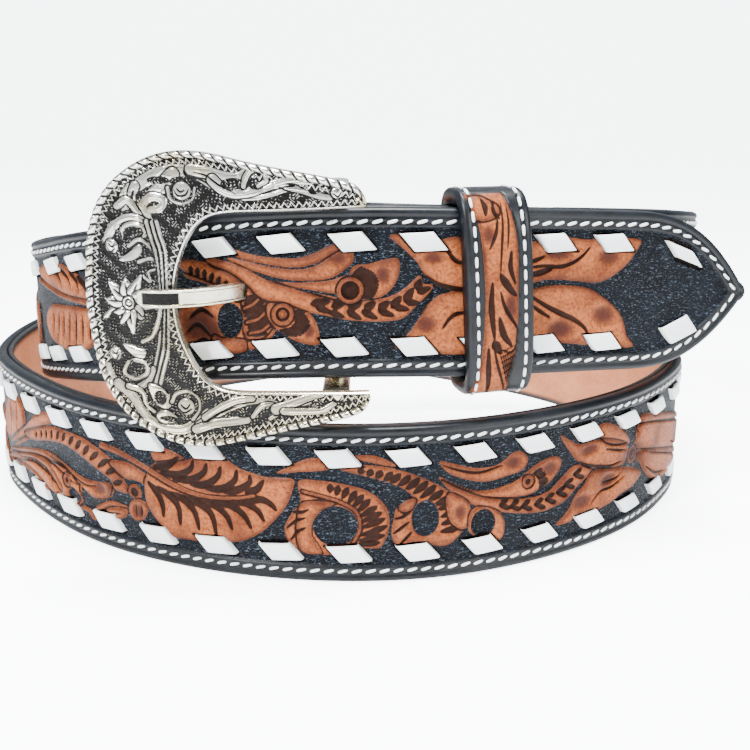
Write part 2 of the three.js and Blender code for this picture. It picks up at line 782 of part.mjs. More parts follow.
function bar() {
  const long = 2 * (LUG_INNER + LUG_H / 2);
  const rod = new THREE.CylinderGeometry(BAR_R, BAR_R, long, 12);
  rod.rotateX(Math.PI / 2);
  rod.translate(barCentre.x, barCentre.y, FRAME_RISE);
  return solidFrom(rod);
}

function outward(mesh) {
  const volume = mesh.triangles.reduce((sum, [a, b, c]) => {
    const { points } = mesh;
    const face = new THREE.Vector3().crossVectors(points[b], points[c]);
    return sum + points[a].dot(face);
  }, 0);
  if (volume < 0) mesh.triangles.forEach((t) => t.reverse());
  return mesh;
}

function buckle() {
  const leaves = [1, -1].flatMap((side) => LEAVES.map((leaf) => leafMesh(leaf, side)));
  const parts = [frameMesh(), ...leaves, flowerMesh()].map((m) => solidOf(outward(m)));
  return [...parts, lug(1), lug(-1), bar()].reduce((sum, part) => sum.add(part));
}

// Shank section: square at the back, chamfered in front.
function shankRing(i) {
  const here = prongPoint(PRONG_LINE[i]);
  const before = prongPoint(PRONG_LINE[Math.max(0, i - 1)]);
  const after = prongPoint(PRONG_LINE[Math.min(PRONG_LINE.length - 1, i + 1)]);
  const heading = after.sub(before).normalize();
  const out = new THREE.Vector3(-heading.y, heading.x, 0).negate();
  const last = i === PRONG_LINE.length - 1;
  const half = (PRONG_W / 2) * (last ? 0.6 : 1);
  const thick = (PRONG_T / 2) * PRONG_LINE[i].thick;
  const chamfer = PRONG_T / 5;
  const corner = (up, w) => here.clone().addScaledVector(out, w).setZ(FRAME_RISE + up);
  return [
    corner(-half, thick),
    corner(-half, chamfer - thick),
    corner(chamfer - half, -thick),
    corner(half - chamfer, -thick),
    corner(half, chamfer - thick),
    corner(half, thick),
  ];
}

function prong() {
  const rings = PRONG_LINE.map((_, i) => shankRing(i));
  const mesh = loftRings(rings);
  fanCaps(mesh, rings[0].length);
  const shape = new THREE.Shape();
  shape.absarc(0, 0, BAR_R + GAP + EYE_WALL, 0, 2 * Math.PI, false);
  const bore = new THREE.Path();
  bore.absarc(0, 0, BAR_R + GAP, 0, 2 * Math.PI, true);
  shape.holes.push(bore);
  const eye = new THREE.ExtrudeGeometry(shape, {
    depth: PRONG_W,
    bevelEnabled: false,
    curveSegments: 9,
  });
  eye.translate(barCentre.x, barCentre.y, FRAME_RISE - PRONG_W / 2);
  return solidOf(outward(mesh)).add(solidFrom(eye));
}

// Rounded rectangle in depth and height, grown on every side.
function keeperOutline(path, grow, radius) {
  const front = LACE_PROUD + KEEPER_PLAY - KEEPER_SET + grow;
  const back = -LEG - KEEPER_PLAY - KEEPER_SET - grow;
  const low = -1.5 * KEEPER_PLAY - grow;
  const high = STRAP_H + 1.5 * KEEPER_PLAY + grow;
  path.moveTo(front - radius, low);
  path.absarc(front - radius, low + radius, radius, -Math.PI / 2, 0, false);
  path.absarc(front - radius, high - radius, radius, 0, Math.PI / 2, false);
  path.absarc(back + radius, high - radius, radius, Math.PI / 2, Math.PI, false);
  path.absarc(back + radius, low + radius, radius, Math.PI, 1.5 * Math.PI, false);
  path.closePath();
  return path;
}

function keeper() {
  const shape = keeperOutline(new THREE.Shape(), KEEPER_T, KEEPER_CORNER + KEEPER_T);
  shape.holes.push(keeperOutline(new THREE.Path(), 0, KEEPER_CORNER));
  const band = new THREE.ExtrudeGeometry(shape, {
    depth: KEEPER_W - 2 * KEEPER_EASE,
    bevelThickness: KEEPER_EASE,
    bevelSize: KEEPER_EASE,
    bevelOffset: -KEEPER_EASE,
    bevelSegments: 1,
    curveSegments: 3,
  });
  band.translate(0, 0, KEEPER_EASE - KEEPER_W / 2);
  const s = whereAcross(route, KEEPER_ACROSS, BILLET_START, route.length);
  const { point, out } = route.frameAt(s);
  const up = new THREE.Vector3(0, 0, 1);
  const along = new THREE.Vector3().crossVectors(out, up);
  return solidFrom(band, new THREE.Matrix4().makeBasis(out, up, along).setPosition(point));
}

function meshFrom(solid, name) {
  const { vertProperties, triVerts } = solid.getMesh();
  const geometry = new THREE.BufferGeometry();
  geometry.setAttribute("position", new THREE.BufferAttribute(vertProperties, 3));
  geometry.setIndex(new THREE.BufferAttribute(triVerts, 1));
  const mesh = new THREE.Mesh(geometry);
  mesh.name = name;
  return mesh;
}

const group = new THREE.Group();
const punches = holePunches();
group.add(
  meshFrom(cut(solidOf(outward(strapMesh())), [...punches, eyeSlot()]), "strap"),
  meshFrom(cut(solidOf(outward(liningMesh())), punches), "lining"),
  meshFrom(solidOf(outward(laceMesh(1))), "lace_upper"),
  meshFrom(solidOf(outward(laceMesh(0))), "lace_lower"),
  meshFrom(keeper(), "keeper"),
  meshFrom(buckle(), "buckle"),
  meshFrom(prong(), "prong"),
);

// The origin lies under the middle of the belt.
const bounds = new THREE.Box3().setFromObject(group);
const middle = bounds.getCenter(new THREE.Vector3());
group.position.set(-middle.x, -middle.y, -bounds.min.z);

export default group;
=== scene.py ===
import math

import bpy
import mathutils
import numpy as np
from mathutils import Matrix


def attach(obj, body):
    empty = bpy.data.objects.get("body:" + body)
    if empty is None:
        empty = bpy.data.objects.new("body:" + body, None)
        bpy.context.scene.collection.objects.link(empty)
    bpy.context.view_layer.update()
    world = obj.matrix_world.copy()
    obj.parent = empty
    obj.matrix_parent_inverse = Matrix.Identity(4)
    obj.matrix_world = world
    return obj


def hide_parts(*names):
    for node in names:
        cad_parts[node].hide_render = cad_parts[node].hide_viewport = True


# Western leather belt, buckled and wound in two turns that stand on edge.
# Sizes in millimetres until a mesh is made. X runs across the ring, Y to the back, Z up.
MM = 0.001

# Strap
STRAP_H = 38.0
RING_W = 208.0
RING_D = 134.0
RIM_T = 2.9
CORE_T = 1.4
FOLD_T = 2.0
LINING_T = 1.35
GAP = 0.3
LINING_INSET = 0.2
LINING_SHORT = 2.5
EDGE_R = 1.25

# Where one piece of the strap meets the next, along it from its folded end
FRONT_FROM = 485.0
FRONT_TO = 760.0
POINT_FROM = 1000.0

# Tooling of the face
BAND_FROM = 490.0
BAND_TO = 752.0
BAND_REPEAT = 262.0
BORDER_W = 4.3
CREASE_IN = 1.95
RELIEF = 0.75
RELIEF_CELL = 0.2
FLOW_BLUR = 0.55
SLOT_PIT = 1.25
HOLE_PIT = 1.3
DEEPEST = 1.35
OUTSIDE = -9.0

# Point of the strap
POINT_L = 34.0
POINT_CURVE = 2.5
NOSE_R = 2.6

# Lace
LACE_T = 0.9
LACE_PROUD = 0.5
SLOT_H = 4.25
SLOT_L = 8.2
SLOT_INSET = 5.2
SLOT_LEAN = 3.6
ROW_LEAD = 1.2
LACE_TILT = 0.06
LACE_PITCH = 16.107

# Prong holes
HOLE_D = 3.8
HOLE_PITCH = 25.2
HOLE_COUNT = 4
FIRST_HOLE = 78.1
HOLE_UP = 0.527

# Buckle
BAR_R = 2.4
BAR_ACROSS = -9.0
FRAME_L = 63.5
FRAME_H = 65.5
FRAME_RISE = 67.6
FRAME_DROP = 1.0
FRAME_R = 126.0
FRAME_APEX = 15.0
FRAME_APEX_X = -16.0
FRAME_APEX_Y = 0.2
FRAME_ROLL = math.radians(-1.2)
PLATE_T = 2.1
ROPE_W = 1.7
ROPE_T = 2.9
LUG_R = 3.0
LUG_H = 5.2
LUG_INNER = 19.9
LUG_TAIL = 0.4
FRAME_STEPS = 1100
FRAME_CELLS = 84
FRAME_REACH = 34.0
FRAME_CELL = 0.12
FRAME_RELIEF = 0.45
BUCKLE_BLUR = 0.3
SUNK = 0.5
ROPE_PITCH = 2.4
ROPE_TURN = 0.45
ZIGZAG_PITCH = 1.5
ZIGZAG_RISE = 1.1
INNER_BAND = 3.0

# Prong
PRONG_W = 3.9
PRONG_T = 2.4
EYE_WALL = 1.8
RECESS_FROM = 0.9
RECESS_TO = 9.2
RECESS_DEEP = 0.45
PANEL_DEEP = 0.14

# Keeper
KEEPER_W = 15.8
KEEPER_T = 2.5
KEEPER_ACROSS = 26.6
KEEPER_CORNER = 2.4
KEEPER_PLAY = 0.7
KEEPER_SET = 0.35
KEEPER_SWELL = 0.9
KEEPER_OVAL = 3.2
KEEPER_LEAN = -0.06
KEEPER_STEPS = 340
KEEPER_EDGE_R = 1.1
KEEPER_SEAM_IN = 2.2
KEEPER_SIDE = 8.0
KEEPER_OVER = 4.0
KEEPER_CELL = 0.15
KEEPER_BLUR = 0.5
KEEPER_RELIEF = 0.45

# Stitching
STITCH_PITCH = 3.25
STITCH_IN = 3.0
STITCH_L = 2.45
STITCH_R = 0.36
STITCH_SLANT = 0.27
STITCH_SUNK = -0.1

# Depths behind the tooled face, each layer behind the last
LINING_FRONT = CORE_T + GAP + LACE_T + 2 * GAP
STRAP_T = LINING_FRONT + LINING_T
UNDER = STRAP_T + 2 * GAP
LEG = UNDER + FOLD_T + GAP + FOLD_T
WRAP_R = BAR_R + 1.4 * GAP + FOLD_T
BAR_DEPTH = UNDER + WRAP_R
LEG_SPREAD = BAR_DEPTH + WRAP_R - LEG

# What moves the place that the route is measured from to the middle of the belt's footprint.
FOOT = np.array([8.4479, -66.0756, 0.0])

# Route of the tooled face at the strap's lower edge: across as a share of the
# ring's width, back as a share of its depth, rise as a share of the strap's width.
TURNS = [
    (0.2995, 0.2075, 1.1947),
    (0.3558, 0.2657, 1.1658),
    (0.3971, 0.3619, 1.1211),
    (0.4260, 0.4888, 1.0711),
    (0.4481, 0.6194, 1.0237),
    (0.4577, 0.7388, 0.9579),
    (0.4413, 0.8507, 0.8737),
    (0.3870, 0.9366, 0.7842),
    (0.2981, 0.9813, 0.7000),
    (0.1731, 1.0000, 0.6000),
    (0.0192, 1.0015, 0.4895),
    (-0.1442, 0.9896, 0.3737),
    (-0.2981, 0.9590, 0.2684),
    (-0.4231, 0.8993, 0.1789),
    (-0.5024, 0.8022, 0.1105),
    (-0.5361, 0.6754, 0.0474),
    (-0.5317, 0.5410, 0.0053),
    (-0.4928, 0.4216, 0.0000),
    (-0.4308, 0.2955, 0.0000),
    (-0.3630, 0.1903, 0.0000),
    (-0.2841, 0.1060, 0.0000),
    (-0.1962, 0.0455, 0.0000),
    (-0.1029, 0.0090, 0.0000),
    (-0.0072, -0.0007, 0.0000),
    (0.0880, 0.0209, 0.0000),
    (0.1774, 0.0739, 0.0000),
    (0.2596, 0.1507, 0.0000),
    (0.3313, 0.2500, 0.0000),
    (0.3875, 0.3701, 0.0000),
    (0.4212, 0.4851, 0.0000),
    (0.4269, 0.5821, 0.0079),
    (0.4149, 0.6791, 0.0447),
    (0.3822, 0.7724, 0.1211),
    (0.3197, 0.8418, 0.2158),
    (0.2308, 0.8806, 0.3158),
    (0.0962, 0.9030, 0.4421),
    (-0.0721, 0.9067, 0.5789),
    (-0.2308, 0.8806, 0.6895),
    (-0.3558, 0.8246, 0.7632),
    (-0.4351, 0.7388, 0.8053),
    (-0.4688, 0.6343, 0.8237),
    (-0.4663, 0.5299, 0.8421),
    (-0.4462, 0.4403, 0.8789),
]
BILLET = [
    (-0.4111, 0.3582, 0.9395),
    (-0.3726, 0.2799, 1.0053),
    (-0.3197, 0.1978, 1.0737),
    (-0.2548, 0.1269, 1.1474),
    (-0.1875, 0.0716, 1.2105),
    (-0.1106, 0.0388, 1.2526),
    (-0.0240, 0.0284, 1.2711),
    (0.0625, 0.0388, 1.2658),
    (0.1490, 0.0731, 1.2447),
    (0.2308, 0.1194, 1.2211),
    (0.3125, 0.1701, 1.1921),
    (0.3798, 0.2119, 1.1658),
    (0.4447, 0.2522, 1.1395),
]

# Folded end on its way to the bar: across, then 0 where it lies flat and 1 at the bar.
FOLD_LEG = [(0.173, 0), (0.115, 0), (0.058, 0.04), (0.014, 0.38), (-0.017, 0.8)]
UNDER_BILLET = [-0.01, 0.048, 0.115, 0.183, 0.24]
WRAP_ANGLES = [90, 120, 150, 180, 210, 240, 270]

# Upper half of the buckle's frame from the arm's end to the closed side:
# outer edge, then inner edge, as shares of the frame's length and half height.
FRAME_HALF = [
    (0.011, 0.675, 0.011, 0.616),
    (0.034, 0.744, 0.041, 0.613),
    (0.085, 0.786, 0.095, 0.611),
    (0.168, 0.822, 0.165, 0.607),
    (0.252, 0.854, 0.235, 0.605),
    (0.336, 0.888, 0.309, 0.603),
    (0.421, 0.926, 0.383, 0.601),
    (0.500, 0.965, 0.445, 0.599),
    (0.577, 0.988, 0.493, 0.590),
    (0.655, 0.986, 0.531, 0.568),
    (0.732, 0.950, 0.563, 0.529),
    (0.807, 0.881, 0.587, 0.479),
    (0.873, 0.788, 0.609, 0.420),
    (0.925, 0.669, 0.626, 0.354),
    (0.962, 0.527, 0.642, 0.280),
    (0.983, 0.371, 0.655, 0.200),
    (0.995, 0.199, 0.664, 0.107),
    (1.002, 0.000, 0.668, 0.000),
]

# Runs of lace slots: first place and pitch in lace pitches, lead in row leads.
LACE_RUNS = [(66.3, 54, 1, -1), (12.3, 11, 0.977, 0.75), (1.225, 1, 1, 0)]

# Prong's line in plan after its eye: across, back, share of the prong's thickness.
PRONG_LINE = [
    (-0.0575, 0.0820, 1),
    (-0.0900, 0.0813, 1),
    (-0.1163, 0.0888, 1),
    (-0.1534, 0.0388, 1),
    (-0.1850, 0.0012, 0.95),
    (-0.2120, -0.0118, 0.9),
    (-0.2335, -0.0085, 0.8),
    (-0.2435, -0.0015, 0.55),
]


# Camera of the photograph: focal length and middle in its pixels, place in mm.
PICTURE_FOCAL = 1000.0
PICTURE_MIDDLE = 375.0
EYE = np.array([8.45, -277.6, 108.9])
EYE_DOWN = math.radians(15.49)

# Width of a mark for each pixel that it takes up, in mm, and how much fuller each kind is cut.
LEATHER_PIXEL = 0.235
BUCKLE_PIXEL = 0.1845
KEEPER_PIXEL = 0.282
BUCKLE_STEM_SWELL = 1.944
CUT_SWELL = 1.25
DROP_SWELL = 1.4
BARS_SWELL = 2.1
TRACE_STEP = 0.5
TRACE_HALVINGS = 4


def seen_at(points):
    """Where points show in the photograph, in its pixels."""
    ahead = np.array([0, math.cos(EYE_DOWN), -math.sin(EYE_DOWN)])
    upward = np.array([0, math.sin(EYE_DOWN), math.cos(EYE_DOWN)])
    off = points - EYE
    depth = off @ ahead
    across = PICTURE_MIDDLE + PICTURE_FOCAL * off[..., 0] / depth
    down = PICTURE_MIDDLE - PICTURE_FOCAL * (off @ upward) / depth
    return np.stack([across, down], -1)


class Marks:
    """Marks of one carving, read off the photograph: places and widths in its pixels."""

    def __init__(self, pixel, stem_swell=1.0):
        self.pixel, self.stem_swell = pixel, stem_swell
        self.rows = []

    def add(self, kind, first, last, way, other=()):
        self.rows.append((kind, first, last, list(way), list(other)))

    def petal(self, *way):
        self.add("petal", 0, 0, way)

    def ground(self, *way):
        self.add("ground", 0, 0, way)

    def stem(self, first, last, *way):
        wide = self.pixel * self.stem_swell
        self.add("stem", first * wide, last * wide, way)

    def cut(self, width, *way):
        self.add("cut", width * self.pixel * CUT_SWELL, 0, way)

    def drop(self, width, *way):
        self.add("drop", width * self.pixel * DROP_SWELL, 0, way)

    def bars(self, count, width, first, second):
        self.add("bars", count, width * self.pixel * BARS_SWELL, first, second)

    def hollow(self, across, upward, centre):
        self.oval("hollow", across, upward, centre)

    def disc(self, across, upward, centre):
        self.oval("disc", across, upward, centre)

    def pod(self, radius, hole, centre):
        self.add("pod", radius * self.pixel, hole * self.pixel, [centre])

    def oval(self, kind, across, upward, centre):
        x, y = centre
        self.add(kind, 0, 0, [centre, (x - across, y), (x + across, y), (x, y - upward), (x, y + upward)])

    def placed(self, surface, low, high):
        """The marks as rows on a surface, whose two headings run from low to high."""
        spots = np.array([spot for row in self.rows for spot in row[3] + row[4]], float)
        found = iter(traced(spots, surface, low, high))
        rows = []
        for kind, first, last, way, other in self.rows:
            way = [next(found) for _ in way]
            other = [next(found) for _ in other]
            if kind in ("hollow", "disc"):
                first = np.linalg.norm(way[2] - way[1]) / 2
                last = np.linalg.norm(way[4] - way[3]) / 2
            rows.append((kind, first, last, way, other))
        return rows


def traced(spots, surface, low, high):
    """Places on a surface that show nearest to spots of the photograph."""
    axes = [np.arange(a, b, TRACE_STEP) for a, b in zip(low, high)]
    grid = np.stack(np.meshgrid(*axes, indexing="ij"), -1).reshape(-1, 2)
    seen = seen_at(surface(grid[:, 0], grid[:, 1]))
    best = np.array([grid[((seen - spot) ** 2).sum(1).argmin()] for spot in spots])
    around = np.array([(i, j) for i in (-1, 0, 1) for j in (-1, 0, 1)])
    for k in range(1, TRACE_HALVINGS + 1):
        tried = np.clip(best[:, None] + around * TRACE_STEP / 2**k, low, high)
        gap = ((seen_at(surface(tried[..., 0], tried[..., 1])) - spots[:, None]) ** 2).sum(-1)
        best = tried[np.arange(len(best)), gap.argmin(1)]
    return best


def mark_band(marks):
    """Leaves, curls, pods and the flower along the strap's front turn."""
    marks.petal((8, 396), (16, 397), (22, 410), (23, 425), (20, 436), (12, 438), (6, 430), (5, 410))
    marks.cut(2.2, (11, 401), (12, 430))
    marks.cut(2.2, (17, 403), (17, 431))
    marks.petal((10, 440), (22, 427), (35, 414), (48, 413), (50, 422), (36, 430), (22, 439))
    marks.stem(4, 5, (14, 445), (35, 434), (42, 440))
    marks.petal((24, 432), (35, 428), (50, 427), (65, 432), (80, 438), (92, 446), (105, 456),
        (113, 465), (122, 480), (128, 494), (113, 490), (108, 480), (97, 471), (85, 461), (72, 451),
        (60, 444), (45, 441), (30, 440))
    marks.bars(13, 3.4, [(36, 431), (50, 430), (65, 434), (80, 441), (92, 449), (105, 459),
        (113, 468), (121, 482)], [(36, 437), (50, 438), (62, 441), (74, 448), (86, 457), (96, 466),
        (105, 474), (112, 484)])
    marks.ground((30, 442), (45, 442), (62, 447), (75, 455), (88, 466), (100, 476), (110, 484),
        (98, 481), (86, 477), (72, 468), (58, 456), (45, 448), (30, 446))
    marks.petal((8, 446), (25, 450), (45, 455), (60, 464), (75, 475), (92, 482), (105, 484),
        (112, 490), (108, 499), (98, 502), (85, 500), (76, 497), (81, 503), (79, 511), (70, 509),
        (62, 500), (53, 493), (44, 485), (34, 477), (23, 467), (12, 458))
    marks.cut(3, (12, 449), (35, 455), (52, 464), (66, 477), (80, 488))
    marks.cut(3, (12, 453), (30, 460), (44, 470), (54, 482), (60, 493))
    marks.cut(3, (12, 457), (26, 467), (38, 478))
    marks.petal((8, 447), (30, 448), (48, 453), (62, 463), (75, 474), (90, 482), (105, 483),
        (110, 488), (107, 497), (100, 499), (90, 496), (80, 487), (70, 474), (58, 464), (40, 456),
        (20, 452))
    marks.hollow(8, 7, (98, 489))
    marks.cut(2.6, (46, 454), (60, 464), (72, 476), (85, 485), (94, 487))
    marks.stem(6, 9, (10, 455), (30, 457), (45, 464), (53, 474), (60, 487))
    marks.cut(2.6, (20, 456), (35, 460), (46, 470), (52, 482), (55, 490))
    marks.stem(5, 7, (12, 459), (25, 466), (36, 475), (46, 488))
    marks.pod(7.5, 3.5, (66, 480))
    marks.disc(5, 7, (73, 495))
    marks.stem(2.5, 2.5, (79, 486), (81, 498), (77, 508))
    marks.ground((80, 487), (90, 497), (100, 501), (109, 498), (110, 507), (96, 509), (83, 505))
    marks.stem(4, 7, (80, 508), (88, 511), (93, 518))
    marks.stem(7, 4, (97, 509), (110, 504), (124, 508))
    marks.petal((104, 511), (114, 508), (126, 511), (122, 519), (108, 519))
    marks.cut(2, (108, 514), (121, 514))
    marks.petal((108, 462), (122, 462), (135, 468), (146, 478), (146, 486), (133, 481), (122, 478))
    marks.pod(8.5, 5.2, (133.5, 492.5))
    marks.petal((129, 503), (137, 500), (145, 505), (146, 514), (141, 521), (134, 521), (128, 513))
    marks.hollow(7, 9, (137, 512))
    marks.cut(2, (134, 505), (135, 518))
    marks.cut(2, (140, 505), (140, 518))
    marks.petal((152, 448), (166, 450), (178, 456), (186, 464), (176, 470), (162, 466), (151, 459))
    marks.petal((144, 480), (143, 492), (146, 505), (152, 516), (160, 526), (170, 537), (190, 541),
        (205, 542), (230, 543), (245, 541), (262, 532), (275, 520), (285, 508), (291, 494),
        (293, 481), (280, 479), (265, 478), (255, 475), (240, 470), (228, 462), (218, 452),
        (205, 455), (195, 458), (180, 462), (165, 462), (150, 466))
    for d in ([(152, 467), (165, 467), (177, 458)], [(160, 473), (178, 475), (190, 469),
        (192, 461)], [(172, 479), (190, 480), (203, 473), (206, 464)], [(190, 485), (205, 485),
        (217, 477), (220, 467)], [(205, 489), (222, 489), (234, 481), (236, 471)], [(222, 492),
        (238, 490), (249, 483), (249, 476)], [(245, 493), (256, 490), (263, 481)]):
        marks.drop(6.4, *d)
    for d in ([(147, 482), (156, 492), (162, 505), (163, 517)], [(157, 487), (170, 497), (178, 508),
        (180, 525)], [(170, 493), (183, 500), (194, 512), (199, 530)], [(182, 497), (197, 503),
        (211, 515), (216, 535)], [(197, 500), (213, 505), (226, 516), (232, 530)], [(212, 502),
        (228, 505), (243, 515), (251, 529)], [(226, 502), (243, 503), (257, 511), (264, 522)],
        [(243, 501), (260, 500), (270, 504), (276, 511)]):
        marks.drop(6.4, *d)
    marks.stem(7, 3, (100, 446), (115, 452), (130, 460), (150, 472), (170, 484), (190, 493),
        (210, 498), (235, 499), (253, 497))
    marks.ground((296, 473), (320, 472), (345, 472), (385, 482), (420, 498), (415, 508), (380, 500),
        (350, 490), (325, 480), (300, 480))
    marks.petal((276, 474), (288, 468), (300, 462), (314, 459), (330, 464), (327, 471), (300, 473))
    marks.petal((348, 458), (365, 456), (380, 458), (397, 467), (378, 465))
    marks.petal((298, 482), (322, 482), (342, 485), (362, 490), (378, 499), (388, 512), (389, 530),
        (381, 548), (364, 549), (350, 551), (330, 556), (303, 554), (290, 545), (284, 530),
        (290, 516), (300, 502))
    marks.bars(12, 3.6, [(330, 485), (346, 488), (359, 493), (370, 500), (379, 509), (385, 519),
        (387, 530), (380, 543)], [(330, 493), (341, 498), (351, 505), (358, 512), (361, 520),
        (362, 530), (360, 540), (356, 546)])
    marks.disc(23, 20, (335, 527))
    marks.stem(2.6, 2.2, (302, 492), (325, 498), (345, 505), (357, 514), (360, 530), (351, 547))
    marks.petal((303, 503), (334, 504), (322, 511), (313, 522), (311, 535), (318, 546), (321, 555),
        (303, 553), (297, 540), (297, 520))
    marks.cut(3, (290, 513), (300, 513), (309, 510))
    marks.cut(3, (286, 529), (295, 522), (306, 518))
    marks.cut(3, (290, 541), (298, 532), (306, 528))
    marks.petal((340, 470), (360, 466), (385, 468), (410, 474), (430, 482), (447, 491), (460, 504),
        (466, 518), (462, 534), (448, 546), (430, 546), (412, 544), (398, 547), (392, 536),
        (394, 520), (398, 508), (414, 500), (402, 489), (380, 481), (360, 476))
    marks.bars(15, 4, [(362, 469), (380, 471), (397, 474), (412, 477), (427, 482), (440, 489),
        (452, 500), (460, 512), (460, 528)], [(360, 475), (378, 480), (394, 485), (408, 491),
        (421, 498), (431, 503), (439, 510), (442, 520), (441, 532)])
    marks.disc(14, 18, (426, 519))
    marks.cut(3, (395, 520), (404, 517), (412, 512))
    marks.cut(3, (393, 535), (402, 528), (410, 522))
    marks.cut(3, (400, 545), (407, 538), (412, 532))
    marks.petal((399, 509), (406, 502), (416, 500), (413, 509), (406, 513))
    marks.petal((440, 462), (460, 466), (480, 469), (500, 465), (514, 454), (522, 452), (529, 458),
        (528, 466), (522, 472), (510, 476), (490, 482), (470, 481), (450, 474))
    marks.cut(2.6, (440, 465), (460, 471), (480, 473), (504, 466))
    marks.hollow(9, 7, (514, 463))
    marks.petal((440, 478), (460, 487), (480, 492), (500, 489), (520, 480), (534, 468), (545, 461),
        (556, 457), (563, 461), (561, 470), (553, 481), (543, 489), (528, 496), (505, 500),
        (480, 499), (460, 494), (447, 487))
    marks.bars(9, 2.4, [(534, 474), (538, 478), (540, 484), (539, 490)], [(543, 468), (548, 475),
        (549, 484), (546, 491)])
    marks.pod(6.5, 3.4, (529, 482))
    marks.hollow(9, 8, (551, 469))
    marks.cut(4, (440, 476), (460, 485), (480, 490), (500, 487), (518, 479))
    marks.cut(4, (445, 482), (470, 497), (500, 500), (530, 499), (550, 491), (565, 476))
    marks.petal((442, 482), (460, 490), (480, 497), (500, 500), (530, 499), (550, 492), (562, 480),
        (577, 466), (594, 470), (578, 488), (567, 501), (555, 508), (540, 513), (520, 514),
        (498, 512), (478, 507), (458, 497))
    for x, y in ((503, 505), (514, 506), (525, 506), (538, 504), (549, 499), (560, 492), (568, 484),
        (577, 474)):
        marks.drop(4.4, (x + 6, y - 5), (x - 3, y))
        marks.drop(4.4, (x + 8, y + 4), (x - 3, y + 1))
    marks.petal((448, 496), (462, 498), (471, 507), (472, 524), (462, 530), (450, 520))
    marks.hollow(7, 9, (461, 513))
    marks.petal((478, 508), (492, 509), (503, 516), (506, 530), (500, 541), (482, 540), (470, 532),
        (470, 516))
    marks.disc(12, 14, (484, 524))
    marks.bars(7, 1.6, [(476, 514), (484, 511), (492, 515)], [(477, 532), (484, 536), (491, 533)])
    marks.petal((638, 438), (642, 423), (652, 413), (664, 406), (674, 399), (674, 426), (659, 438),
        (647, 450))
    marks.petal((645, 450), (659, 438), (674, 427), (674, 455), (664, 476), (652, 478), (643, 466))
    marks.petal((600, 434), (604, 424), (616, 425), (626, 431), (632, 442), (625, 448), (612, 445))
    marks.petal((562, 436), (570, 440), (583, 445), (600, 440), (616, 440), (630, 446), (630, 460),
        (618, 468), (597, 469), (580, 462), (570, 450))
    marks.hollow(9, 6, (591, 450))
    marks.cut(2.6, (601, 438), (607, 443), (616, 445), (627, 444))
    marks.cut(2.6, (606, 449), (617, 450), (627, 450))
    marks.cut(3, (580, 462), (592, 466), (610, 466), (622, 461))
    marks.petal((594, 472), (616, 469), (630, 467), (642, 472), (634, 486), (623, 494), (612, 503),
        (598, 511), (580, 515), (570, 523), (557, 526), (563, 519), (571, 509), (578, 495), (587, 483))
    marks.hollow(10, 8, (583, 502))
    marks.hollow(8, 7, (609, 480))
    marks.cut(2.6, (624, 476), (612, 487), (600, 492), (592, 504))
    marks.cut(2.4, (622, 471), (616, 479), (604, 483))
    marks.cut(3, (650, 452), (660, 447), (670, 440))
    marks.cut(3, (640, 436), (648, 422), (660, 411))
    marks.cut(3, (646, 466), (655, 472), (664, 470))
    marks.pod(10, 6, (635, 455))
    marks.pod(4, 0, (635, 455))
    marks.hollow(11, 14, (635, 455))
    marks.petal((676, 430), (686, 422), (694, 414), (697, 432), (690, 450), (680, 446))


